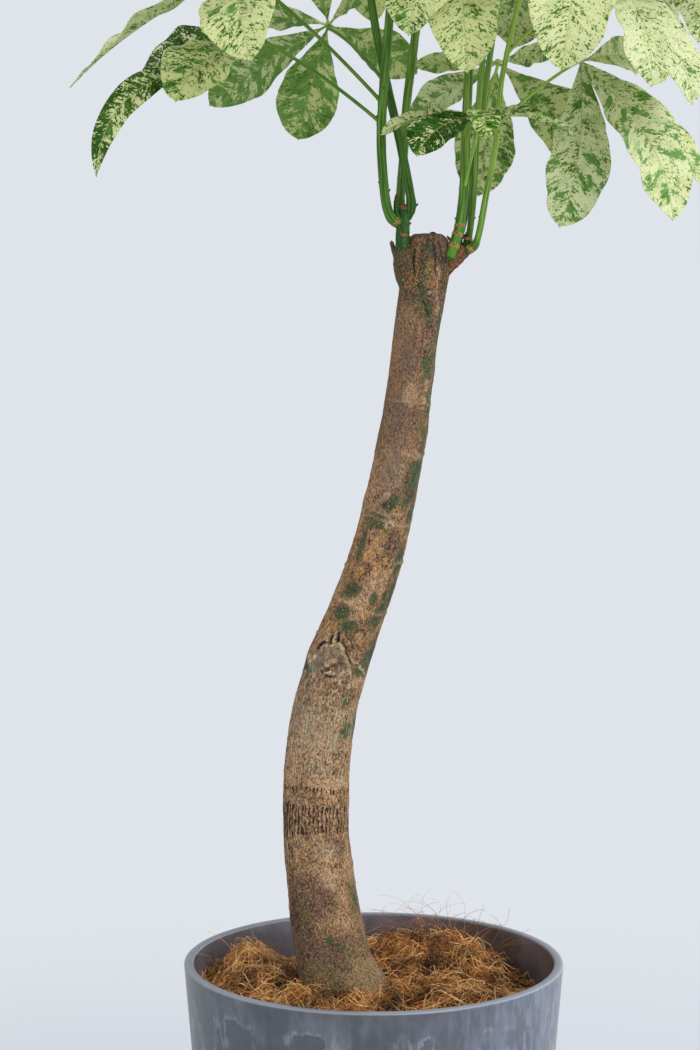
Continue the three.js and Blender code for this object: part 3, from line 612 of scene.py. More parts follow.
def stem_finish(tree):
    """Smooth green skin with long stripes, the pale ones partly its own and partly painted
    highlight, orange-brown rings and flecks low down, and buds.
    """
    stem, hue = fields(tree, "stem", "hue")
    place = joined(stem[1].maths("COSINE"), stem[1].maths("SINE"), stem[0] * 0.3)
    stripe = cloud(scaled(place, (2.8, 2.8, 1)), 1, 3, 0.6)
    line = cloud(scaled(place, (6.5, 6.5, 0.8)), 1, 2, 0.5)
    fleck = cloud(scaled(place, (5, 5, 26)), 1, 2)
    fresh = tint(hue[0], (58, 118, 28), (184, 208, 100))
    deep = tint(hue[0], (18, 66, 12), (104, 154, 42))
    colour = coated(
        tint(mask(stripe, 0.4, 0.2), deep, fresh),
        # pale stripes: partly the skin's own stripes, partly painted highlight streaks
        (mask(line, 0.55, 0.1) * 0.35, tint(hue[0], (110, 168, 76), (206, 222, 144))),
        (mask(line, 0.47, -0.1) * 0.3, deep),
        (hue[1], tint(stripe, (12, 48, 18), (44, 90, 34))),
        (mask(fleck, 0.63, 0.04) * (hue[1] * 0.6 + 0.1), (170, 160, 60)),
        (mask(fleck * 0.7 + (stem[2] - 0.35), 0.4, 0.1),
         tint(mask(fleck, 0.35, 0.3), (92, 58, 30), (190, 142, 88))),
        (hue[2], (70, 36, 26)))
    return {"Base Color": colour, "Roughness": stripe * 0.25 + 0.27,
            "Normal": bumps(stripe, 0.00015, fleck, 0.0001), "Specular IOR Level": 0.14}, None


def bark_finish(tree):
    """Thin bark: dark brown to light tan, mottled at three sizes of which the finest is the
    strongest, with orange flecks and dark pits. The piece's values give ragged green patches
    speckled with tan, dusky, pale and smooth grey patches, moss, scars, dark hollows, bands of
    short upright splits, thin pale upright lines and blue-grey marks."""
    patch, scar, tone, split, turn = fields(tree, "patch", "scar", "tone", "split", "round")
    broad, small, grain, crumb, block, reed, dash = uprights(
        object_place(tree), (0.5, 45), (0.65, 260), (0.75, 700), (0.7, 1050), (0.8, 130),
        (0.22, 240), (0.4, 330))

    def grained(dark, light, start=0.36):
        """A colour that goes from dark to light with the grain."""
        return ramp(grain, (start, *dark), (0.62, *light))

    dusky = mask(grain * 0.5 + (small * 0.6 + patch[1]), 0.85, 0.35)
    pale = mask(grain * 0.6 + (small * 0.5 + patch[2]), 0.9, 0.35)
    # green: nearly whole in the middle of a patch, broken into specks at its border
    ragged = block * 1.4 + (small * 3.4 + grain * 2.0)
    green = mask(patch[0], 0.05, 0.12) * mask(patch[0] * 1.1 + ragged, 3.98, 0.05)
    moss = mask(small * 1.3 + tone[1], 1.0, 0.25)
    plain = 0.75 - tone[0] * 0.5
    spot = mask(turn[1] * 0.022 + (broad * 0.25 + crumb), 0.73, 0.03)
    pit = mask(1.0 - crumb, 0.59, 0.05)
    # upright lines 3.2 mm apart round the trunk, that waver and break up
    wave = (turn[0] * (TURN / 0.32) + (small * 8 + reed * 13)).maths("COSINE")
    line = mask(wave * -0.22 + (split[1] * 0.4 + dash), 1.08, 0.04)
    crack = mask(wave * 0.27 + (split[0] * 0.5 + dash), 1.12, 0.05)
    blue = mask(small + split[2], 0.95, 0.12)
    colour = coated(
        ramp((broad * 0.4 + (small * 0.5 + grain * 1.1)) * 0.475, (0.34, 46, 33, 26),
             (0.415, 94, 70, 51), (0.475, 136, 107, 79), (0.54, 174, 141, 107),
             (0.62, 210, 180, 145)),
        (tone[0] * 0.82, ramp(grain * 0.6 + small * 0.4, (0.36, 76, 62, 54),
                              (0.62, 134, 116, 100))),
        (mask(small, 0.47, 0.12) * tone[2], grained((108, 70, 36), (206, 156, 98))),
        (dusky * 0.8, grained((44, 32, 30), (118, 94, 80), 0.38)),
        (pale * 0.5, grained((132, 104, 78), (196, 168, 134))),
        (green, ramp(grain * 0.5 + small * 0.5, (0.38, 30, 46, 29), (0.5, 53, 69, 46),
                     (0.62, 88, 96, 64))),
        (moss * 0.6, grained((58, 54, 32), (134, 120, 78))),
        (spot * plain, (204, 144, 84)), (pit * plain, (46, 33, 26)),
        (line * 0.7, (160, 164, 138)),
        (blue * 0.8, grained((48, 68, 64), (126, 138, 130))),
        (scar[1], grained((104, 56, 32), (190, 130, 80))),
        (scar[2], grained((150, 122, 94), (222, 202, 168))),
        (scar[0].maths("MAXIMUM", crack * 0.92), (34, 26, 27)))
    height = small * 0.6 - (green * 0.15 + crack * 0.5)
    return {"Base Color": colour, "Roughness": 0.85 - green * 0.25, "Specular IOR Level": 0.15,
            "Normal": bumps(height, 0.0018, grain, 0.001)}, None


def pot_finish(tree):
    """Grey stone look: faint upright streaks over a marbled grey, dark blotches that begin below
    a plain band under the rim, with ragged borders under pale drips, a painted highlight that pales
    the right side, a pale line along the rim that is partly wear and partly painted highlight, and
    an inner wall of purple-grey at the left and brown-grey at the right, its right half partly
    painted shade."""
    wall, = fields(tree, "wall")
    place = object_place(tree)
    side = parts(place)[0]
    streaks, soft, ragged, drip = uprights(place, (0.16, 120), (0.8, 24), (0.6, 80), (0.3, 200))
    grain = cloud(place, 900, 2)
    lobe = wall[2] + (ragged * 0.8 + (drip * 0.6 + soft * 0.5))
    pale = mask(lobe, 1.12, 0.26) * mask(drip, 0.44, 0.12)
    # painted highlight: the outer wall's right side is painted paler and bluer, most where the
    # drips run, to stand for light reflected from the right
    painted_right_highlight = mask(side, 0.0, 0.15) * (mask(drip, 0.44, 0.14) * 0.34 + 0.34)
    mixed = mask(ragged * 0.12 + soft, 0.45, 0.3)
    # painted shade: the right half of the inner wall is darker brown-grey, partly its own colour
    # and partly painted shade of a wall turned from the light at the right
    inner = tint(mask(side, -0.1, 0.2), tint(mixed, (84, 80, 86), (112, 108, 118)),
                 tint(mixed, (68, 60, 58), (98, 90, 94)))
    colour = coated(
        ramp(streaks * 0.2 + (soft * 0.6 + ragged * 0.2), (0.4, 64, 65, 70), (0.5, 74, 76, 82),
             (0.62, 100, 103, 111)),
        (pale * 0.62, (126, 131, 143)),
        (mask(lobe, 1.42, 0.02) * 0.92, tint(soft, (55, 58, 65), (76, 80, 87))),
        (painted_right_highlight, tint(soft, (112, 117, 131), (150, 156, 174))),
        (mask(wall[1], 0.1, 0.1), inner),
        # pale line along the rim, palest at its outer edge: partly wear, partly painted highlight
        (wall[0] * 0.8, (138, 142, 150)))
    return {"Base Color": colour, "Specular Tint": (0.84, 0.9, 1.0, 1),
            "Roughness": soft * 0.2 + 0.24, "Specular IOR Level": 0.7,
            "Normal": bumps(soft, 0.0006, grain, 0.00004)}, None


def coir_finish(tree):
    """Dry fibre, each strand with its own brown, with painted shade that darkens it in patches and
    towards the bottom of the tangle, where the gaps between fibres lie in shade."""
    strand, = fields(tree, "strand")
    # painted shade: patches and the low parts of strands are darkened to stand for the shade in the
    # tangle's gaps
    deep = mottle(object_place(tree), (1, 1, 1), 38) * 1.3 + strand[1]
    colour = coated(
        ramp(strand[0], (0.0, 62, 30, 11), (0.4, 146, 82, 35), (0.7, 208, 136, 68),
             (1.0, 250, 200, 132)),
        (mask(deep, 0.52, 0.36), (34, 16, 6)))
    return {"Base Color": colour, "Roughness": 0.6, "Specular IOR Level": 0.25}, None


def mat_finish(tree):
    """The fibre between the single strands: matted and fine, its dark browns partly its own colour
    and partly painted shade of the gaps between the strands.
    """
    place = object_place(tree)
    wisps = mottle(place, (1, 0.35, 1), 520)
    both = wisps.maths("MAXIMUM", mottle(place, (0.35, 1, 1), 480))
    # painted shade: the mat is coloured dark so that the gaps between loose fibres read as shaded
    colour = ramp(both, (0.45, 40, 21, 9), (0.6, 88, 52, 24), (0.75, 140, 90, 46))
    return {"Base Color": colour, "Roughness": 0.9, "Specular IOR Level": 0.05,
            "Normal": bumps(both, 0.002, wisps, 0.0005)}, None


def soil_finish(tree):
    """Dark potting soil with crumbs and a few pale grains."""
    place = object_place(tree)
    crumbs, fine = uprights(place, (1, 260), (1, 700))
    grains = mottle(place, (1, 1, 1), 700, 0.68, 0.03, "Mask")
    colour = tint(grains, ramp(crumbs, (0.35, 38, 29, 23), (0.7, 77, 62, 50)), (160, 153, 140))
    return {"Base Color": colour, "Roughness": 0.95, "Specular IOR Level": 0.05,
            "Normal": bumps(crumbs, 0.003, fine, 0.0008)}, None


LEAF = material("leaf_blade", leaf_finish)
STEM = material("green_stem", stem_finish)
BARK = material("bark", bark_finish)
POT = material("pot_stone", pot_finish)
COIR = material("coir_strand", coir_finish)
COIR_MAT = material("coir_mat", mat_finish)
SOIL = material("soil", soil_finish)

# ------------------------------------------------------------------ leaves

LEAF_ROWS = np.concatenate([[0], np.cumsum(np.interp(np.linspace(0, 1, 57), [0, 0.1, 0.85, 1],
                                                     [0.5, 1, 1, 0.35]))])
LEAF_ROWS = LEAF_ROWS / LEAF_ROWS[-1] * 0.997
HALF = np.array([0, 0.05, 0.14, 0.27, 0.42, 0.58, 0.74, 0.88, 0.97, 1])
LEAF_COLUMNS = np.concatenate([-HALF[:0:-1], HALF])


def facing(azimuth, tilt):
    """The direction an azimuth and a tilt from straight up give, in degrees."""
    a, t = math.radians(azimuth), math.radians(tilt)
    return np.array([math.sin(t) * math.cos(a), math.sin(t) * math.sin(a), math.cos(t)])


def fan_of(k, hub, azimuth, tilt, length, droop):
    """Leaflets of an upper leaf: they fan out at the angles of FAN round the leaf's face, shorter
    by 0.3 of the angle's square over 140², and droop below it, each a little off by sines."""
    face = facing(azimuth, tilt)
    down = facing(azimuth, tilt + 90)
    across = np.cross(face, down)
    made = []
    for i, phi in enumerate(FAN):
        reach = length * (1 - 0.3 * (phi / 140) ** 2) * (1 + 0.06 * math.sin(5.1 * k + 2.3 * i))
        a = math.radians(phi + 7 * math.sin(3.7 * k + 1.9 * i))
        low = math.radians(droop + 6 * math.sin(2.1 * k + 4.4 * i))
        tip = (np.array(hub) + reach * math.cos(low) * (down * math.cos(a) + across * math.sin(a))
               - reach * math.sin(low) * face)
        made.append([*tip, 0.12, 8 * math.sin(1.3 * k + 3.1 * i), 0.38,
                     0.34 + 0.12 * math.sin(2.7 * k + 1.1 * i)])
    return made


def add_leaflet(skin, hub, face, row, phase, number, flat):
    """One leaflet as a closed thin shell.

    The midrib runs from beside the hub to the tip, rises by 4 arch length v(1 - v)(1 + hook
    (v - 1/2)), and sways a little sideways. The half width is half the ratio times the length
    times sin(pi v^1.6), to the power full up to the widest place and 0.58 past it, and ends in a
    small pointed tip. The blade rolls further towards its tip and lifts by up to 0.14 of its half
    width at the margins, which wave by sines of v and have a notch each. Between lateral veins it
    swells by a cosine, and the midrib stands out below.
    """
    arch, roll, ratio, greenness, *shape = row[3:]
    hook, full = shape or (0.5, 0.85)
    tip = np.array(row[:3], float)
    root = hub + unit(tip - hub) * ROOT_INSET
    chord = tip - root
    length = np.linalg.norm(chord)
    ahead = chord / length
    up = unit(face - ahead * (face @ ahead))
    side = np.cross(up, ahead)
    v = LEAF_ROWS[:, None]
    u = LEAF_COLUMNS[None, :]
    out = np.abs(u)
    lean = 1 + hook * (v - 0.5)
    sway = 0.025 * math.sin(3.1 * phase) * length
    middle = root + v * chord + 4 * arch * length * v * (1 - v) * lean * up + (
        4 * sway * v ** 1.5 * (1 - v)) * side
    along = unit(chord + 4 * arch * length * ((1 - 2 * v) * lean + v * (1 - v) * hook) * up)
    normal = -np.cross(along, side)
    normal = normal * np.sign(normal @ up)[:, None]
    turn = np.radians(roll + 13 * math.sin(1.9 * phase) * v ** 2)
    c, s = np.cos(turn), np.sin(turn)
    across, above = side * c + normal * s, normal * c - side * s
    grown = np.minimum(v / 0.985, 1)
    body = np.sin(np.pi * grown ** 1.6)
    width = 0.5 * ratio * length * np.where(grown < 0.5 ** 0.625, body ** full, body ** 0.58)
    drip = 2.4 * np.clip((1 - v) / 0.045, 0, 1)
    width = np.maximum(width, np.where(v < 0.5, 1.0, np.maximum(drip, 0.2)))
    torn = 0.6 + 0.24 * np.sin(2.7 * phase + 1.9 * np.sign(u))
    notch = 0.05 * eased(0, 0.03, v - torn) * eased(0.16, 0.03, v - torn) * out ** 3
    edge = 1 - notch + (0.03 * np.sin(TURN * 3.7 * v + 2.3 * phase + u) + 0.008 * np.sin(
        TURN * 9 * v + 5 * phase - u)) * out
    lift = 0.14 * width * out ** 1.2
    lift = lift + 0.12 * width * np.sin(TURN * 1.6 * v + phase + 0.9 * u) * out
    lift = lift + 0.06 * width * np.sin(TURN * 4.3 * v + 1.7 * phase + 1.5 * u) * out ** 3
    rib = v * length - VEIN_SLANT * out * width
    swelling = np.cos(TURN * rib / VEIN_SPACING) * eased(0.06, 0.35, out) * (1 - out ** 5)
    lift = lift - 0.55 * swelling * np.minimum(width / 12, 1)
    lift = lift - 0.5 * hump(u * width / 1.1) * (1 - v)
    sheet = middle[:, None] + (u * edge * width)[..., None] * across[:, None] + (
        lift[..., None] * above[:, None])
    thick = BLADE_HALF * (1 - 0.55 * out ** 3) + 0 * v
    keel = 0.6 * hump(u * width / 1.0) * (1 - 0.9 * v)
    top = sheet + thick[..., None] * above[:, None]
    low = sheet - (thick + keel)[..., None] * above[:, None]
    rings = np.concatenate([top, low[:, ::-1]], 1)
    both = np.concatenate([u, u[:, ::-1]], 1)
    under = np.concatenate([0 * u, 0 * u + 1], 1)
    odds = math.log(greenness / (1 - greenness)) / 1.702
    tone = 0.0 if flat else min(1, max(0, (greenness - 0.66) / 0.14))
    skin.add(rings, blade=(v * length / 10 + 0 * both, both * width / 10, number),
             mark=(0.93 - 0.082 * odds + 0.1 * flat, under, tone),
             second=(0.765 - 0.075 * odds - 0.08 * flat, 0.0, 0.0))


def add_hub(skin, hub, face, number):
    """The knob where leaflets meet: a ball of radius HUB_RADIUS, flattened along the face."""
    a = np.linspace(0.12, math.pi - 0.12, 9)
    path = hub + face * (-np.cos(a) * HUB_HALF_HEIGHT)[:, None]
    skin.add(tube(path, HUB_RADIUS * np.sin(a) ** 0.6, 14, (0.3, 1, 0.2)),
             blade=(0.0, 0.0, number), mark=(1.6, 0.5, 0.0), second=(1.6, 0.0, 0.0))


def all_leaves():
    """Every leaf as (number, node, shoot, height of the stalk's foot, hub, face, leaflets)."""
    for k, (name, shoot, z, hub, azimuth, tilt, rows) in enumerate(LEAVES, 1):
        yield k, name, shoot, z, np.array(hub, float), facing(azimuth, tilt), rows
    for k, (name, shoot, z, hub, azimuth, tilt, length, droop) in enumerate(CROWN, 13):
        yield (k, name, shoot, z, np.array(hub, float), facing(azimuth, tilt),
               fan_of(k, hub, azimuth, tilt, length, droop))


def grow_leaves():
    for k, name, _, _, hub, face, rows in all_leaves():
        skin = Skin()
        for i, row in enumerate(rows):
            add_leaflet(skin, hub, face, row, k + i, k * 7 + i * 1.37, FLAT.get(name, 0.0))
        add_hub(skin, hub, face, k)
        skin.piece(name + "_blades", LEAF, "leaf_blade", name)


# ------------------------------------------------------------------ shoots and stalks

# the direction, about square to the shoots, from which the angle round them is counted
SHOOT_SIDE = (1, 0.13, 0.07)
# rings that old leaves left: how far from a shoot's foot and from its end, and their spacing
FIRST_RING, LAST_RING, RING_SPACING = 30, 12, 36


def rings_at(far, places, wide):
    """Sum of humps at the places along a stem."""
    return sum((hump((far - s) / wide) for s in places), np.zeros_like(far))


def add_bud(skin, at, out, size, seed):
    """A small pointed dark bud: a rod that swells and closes to a point."""
    t = np.linspace(0, 1, 7)
    path = at + (t * 3.2 * size)[:, None] * out + (t ** 2 * 1.2 * size)[:, None] * (0, 0, 1)
    radius = size * 0.95 * np.sqrt(np.sin(np.pi * (0.25 + 0.74 * t)))
    skin.add(tube(path, radius, 7, np.cross(out, (0.1, 0.2, 1))),
             stem=(t[:, None] + seed, 0.0, 0.5), hue=(0.0, 0.0, 0.85))


def add_stalk(skin, foot, hub, face, yellow, seed):
    """A leaf stalk: a parabola from the shoot to below the hub, raised by 0.07 of its span, that
    ends straight up to the hub. A yellow one is thinner. Its foot swells to 1.45 of its radius
    and its end to 1.3. A small bud sits above its foot."""
    low = hub - face * (HUB_HALF_HEIGHT + GAP + STALK_TURN)
    bend = foot + (low - foot) * 0.55 + np.array([0, 0, 0.07 * np.linalg.norm(foot - low)])
    t = np.linspace(0, 1, 26)[:, None]
    path = (1 - t) ** 2 * foot + 2 * t * (1 - t) * bend + t ** 2 * low
    path = np.vstack([path, low + face * np.array([[1.2], [2.4], [3.6]])])
    far = lengths(path)
    radius = STALK_RADIUS * (0.92 - 0.22 * yellow) * (
        1 + 0.45 * np.exp(-far / 3.5) + 0.3 * hump((far - far[-1]) / 5))
    skin.add(tube(path, radius, 10, unit(np.cross(low - foot, (0.02, 0.03, 1)))),
             stem=(far[:, None] / 10 + seed, turns(10)[None], 0.0),
             hue=(yellow, 0.0, 0.25 * np.exp(-far / 2)[:, None]))
    out = unit(unit(bend - foot) * (1, 1, 0))
    add_bud(skin, foot + out * 2.6 + (0, 0, 2.6), out * 0.4 + (0, 0, 0.8), 1.0, seed)


def add_rod(skin, points, radii, hue):
    """A short green stub along a smooth line, whose radius goes from one value to another."""
    t = np.linspace(0, 1, 12)
    radius = np.interp(t, np.linspace(0, 1, len(radii)), radii)
    skin.add(tube(curve(points, t)[0], radius, 12, SHOOT_SIDE),
             stem=(t[:, None] * 2, turns(12)[None], 0.0), hue=hue)


def add_scar(skin, at, out, wide, high):
    """A raised oval scar on a stem: a low dome, wide across and high along, of brown bark."""
    aside = unit(np.cross((0, 0, 1.0), out))
    a = turns(14)[:, None]
    rings = [at + aside * np.cos(a) * wide * k + np.array([0, 0, 1.0]) * np.sin(a) * high * k
             + out * rise for k, rise in [(0.9, -0.9), (1, 0.0), (0.8, 0.45), (0.35, 0.3)]]
    skin.add(np.stack(rings), stem=(0.3, 0.0, 1.3), hue=(0.0, 0.0, 0.0))


def grow_shoots():
    """Each shoot is a tube along its line whose radius falls evenly, with low rings where leaves
    were, brown collars at its foot, buds, a root that runs into the wood it grows from, and the
    stalks of its leaves."""
    draw = np.random.default_rng(41)
    for number, (name, yellow, dark, foot, top, points) in enumerate(SHOOTS):
        skin = Skin()
        points = np.array(points, float)
        branch = name == "branch_left"
        t = even_shares(points, 60 if branch else 170)
        path, _ = curve(points, t)
        far = lengths(path)
        stalks = [(k, *row) for k, _, shoot, *row in all_leaves() if shoot == name]
        joints = [np.interp(share_at(points, z), t, far) for _, z, *_ in stalks]
        steps = np.arange(FIRST_RING, far[-1] - LAST_RING, RING_SPACING)
        old = list(steps + draw.uniform(-7, 7, 99)[:len(steps)])
        collars = COLLARS[name]
        a = turns(18)[None]
        radius = (foot + (top - foot) * t) * (
            1 + 0.1 * rings_at(far, collars, 1.3) + 0.05 * rings_at(far, old, 0.9)
            + 0.08 * rings_at(far, joints, 2.2))
        swell = SWELL.get(name, 0.12)
        radius = radius * (1 + swell * eased(13, 8, far))
        along = far[:, None]
        uneven = rough(np.stack(np.broadcast_arrays(np.cos(a) * 1.5, np.sin(a) * 1.5, along / 9),
                                -1), number, 2)
        wobble = 1 + 0.02 * np.sin(3 * a + along * 0.05) + (0.07 if branch else 0.03) * uneven
        # a collar's ring dips at the front
        dip = along + 0.9 * np.sin(a)
        brown = 1.1 * rings_at(dip, collars, 1.15) + 0.5 * rings_at(dip, old, 0.5)
        # the right-hand shoots are fresh green low down and yellow above
        ripe = yellow * (0.35 + 0.65 * eased(15, 95, along)) if yellow > 0.35 else yellow
        skin.add(tube(path, radius[:, None] * wobble, 18, SHOOT_SIDE),
                 stem=(along / 10 + number * 3, a, brown),
                 hue=(np.clip(ripe + 0.15 * along / far[-1], 0, 1),
                      np.clip(dark * np.exp(-along / 160)
                              + DARK_FOOT.get(name, 0) * eased(15, 9, along), 0, 1), 0.0))
        if name in ROOTS:
            add_rod(skin, [path[1], *ROOTS[name]], [foot * (1 + swell), foot * 0.95, foot * 0.7],
                    (yellow * 0.35, max(0.0, dark), 0.0))
        for s in old[::2]:
            turn = draw.uniform(0, TURN)
            at, out = point_at(points, np.interp(s, far, t)), outward(turn)
            add_bud(skin, at + out * (np.interp(s, far, radius) - 0.3), out * 0.5 + (0, 0, 0.7),
                    0.55, number + turn)
        for shoot, z, turn, size in BUDS:
            if shoot == name:
                share, out = share_at(points, z), outward(turn)
                at = point_at(points, share) + out * (np.interp(share, t, radius) - 0.4)
                add_bud(skin, at, out * 0.7 + (0, 0, 0.5), size, number + turn)
        if branch:
            add_scar(skin, np.array([22.6, -16.8, 850]), np.array([0.1, -1, 0]), 3.1, 1.5)
            add_scar(skin, np.array([26.2, -13.5, 842]), np.array([0.7, -0.7, 0]), 1.6, 1.0)
            add_rod(skin, [[18.6, -13, 862], [16.6, -14, 868], [16.2, -14.5, 876]], [2.1, 2, 1.6],
                    (0.0, 0.9, 0.0))
            add_bud(skin, np.array([16.2, -14.5, 875.5]), np.array([0.1, -0.1, 1.0]), 1.3, 5)
            # the brown domed cap between the three shoots
            rise = np.linspace(0, 1, 7)
            dome = np.array([23, -9.5, 869.5]) + np.outer(4.2 * rise, (0.03, 0, 1))
            skin.add(tube(dome, 5.7 * np.sqrt(1.03 - rise ** 2), 16, (1, 0.1, 0)),
                     stem=(0.3, 0.0, 1.3), hue=(0.0, 0.0, 0.15))
        for i, (k, z, hub, face, _) in enumerate(stalks):
            at = point_at(points, share_at(points, z))
            add_stalk(skin, at, hub, face, min(1, yellow + (0.15 if "left" in name else 0.5)),
                      number + i * 1.9)
        skin.piece(name + "_skin", STEM, "green_stem", name)


# ------------------------------------------------------------------ trunk

# smooth green patches: angle round the trunk, height, half width as an angle, half height, and
# for faint ones their strength
GREEN_PATCHES = [
    (-0.8, 751, 0.42, 17), (-0.45, 716, 0.4, 30), (-0.38, 780, 0.32, 30), (-0.55, 664, 0.55, 24),
    (-0.8, 648, 0.34, 10), (-0.38, 634, 0.36, 18), (-1.53, 643, 0.32, 9), (-1.9, 630, 0.5, 9),
    (-2.28, 612, 0.16, 16), (-2.14, 576, 0.4, 9), (-2.17, 559, 0.4, 8), (-0.45, 598, 0.36, 18),
    (-0.3, 570, 0.3, 18), (-0.86, 550, 0.34, 10), (-0.6, 557, 0.34, 11), (-0.45, 522, 0.4, 16),
    (-0.75, 512, 0.26, 7), (-1.22, 569, 0.14, 5), (-0.75, 570, 0.14, 5), (-1.7, 548, 0.3, 6),
    (-1.7, 816, 0.45, 26, 0.84), (-1.45, 836, 0.4, 12, 0.74), (-1.15, 790, 0.3, 12, 0.9),
    (-2.4, 822, 0.4, 18, 0.72), (-0.55, 812, 0.2, 16, 0.8),
    (-0.48, 336, 0.34, 15), (-0.46, 306, 0.16, 9), (-1.5, 303, 0.2, 6, 0.66),
    (-1.3, 298, 0.14, 6, 0.66),
    (-1.0, 486, 0.2, 5), (-0.75, 465, 0.32, 8), (-0.3, 470, 0.22, 12), (-2.95, 512, 0.4, 12),
    (0.6, 690, 0.5, 30), (1.5, 640, 0.5, 24), (2.4, 560, 0.5, 26), (1.0, 500, 0.5, 22),
    (1.9, 770, 0.4, 26), (0.4, 420, 0.4, 20), (2.6, 700, 0.3, 18), (1.7, 400, 0.5, 18),
]
# dusky purple-brown patches, and paler ones
DUSKY_PATCHES = [
    (-1.0, 768, 0.45, 24), (-1.09, 613, 0.4, 13), (-0.9, 662, 0.35, 18), (-0.9, 835, 0.6, 14),
    (-1.9, 336, 0.8, 20), (-2.4, 310, 0.6, 24), (-2.6, 300, 0.6, 40), (-1.0, 374, 0.4, 8),
    (1.2, 560, 0.7, 30), (2.2, 380, 0.8, 40), (0.8, 800, 0.6, 26), (2.0, 300, 1.0, 40),
]
PALE_PATCHES = [
    (-1.7, 560, 0.5, 14), (-1.35, 580, 0.6, 14), (-1.5, 728, 0.4, 10), (-0.8, 275, 0.7, 16),
    (-1.2, 424, 0.9, 6), (-1.3, 372, 0.5, 9), (-0.7, 500, 0.6, 9), (-1.3, 350, 0.4, 10),
    (1.5, 470, 1.0, 24), (-1.5, 462, 1.5, 34, 0.75), (-0.9, 255, 0.8, 14, 0.5),
    (-1.5, 600, 0.7, 40, 0.4),
]


# smooth grey skin and moss
GREY_PATCHES = [
    (-1.75, 672, 0.55, 26), (-1.9, 715, 0.35, 24), (-1.9, 760, 0.4, 16), (-0.75, 835, 0.4, 14),
    (-2.3, 480, 0.4, 18), (0.9, 730, 0.6, 40), (2.2, 610, 0.5, 40), (1.2, 350, 0.6, 30),
]
MOSS_PATCHES = [
    (-0.9, 290, 0.5, 26), (-1.9, 275, 0.6, 18), (-0.7, 330, 0.25, 24), (-2.2, 330, 0.4, 30),
    (-1.4, 818, 0.5, 16), (1.2, 300, 0.9, 34), (2.6, 440, 0.4, 30),
]


TRUNK_RINGS, TRUNK_COLUMNS = 600, 152


def angle_gap(a, b):
    """Smallest turn between two angles."""
    return np.abs((a - b + math.pi) % TURN - math.pi)


def patches(a, z, rows):
    """Strongest of the patches at each place: the strength, 1 where none is given, times e to the
    minus (turn/wide)² + (rise/high)²."""
    return np.max([(more[0] if more else 1) * hump(np.hypot(angle_gap(a, a0) / wide,
                                                            (z - z0) / high))
                   for a0, z0, wide, high, *more in rows], axis=0)


def streak(a, z, r, a0, z0, a1, z1):
    """Distance on the trunk's skin to the line from one angle and height to another."""
    x, y = (a - a0) * r, z - z0
    dx, dy = (a1 - a0) * r, z1 - z0
    k = np.clip((x * dx + y * dy) / (dx * dx + dy * dy), 0, 1)
    return np.hypot(x - k * dx, y - k * dy)


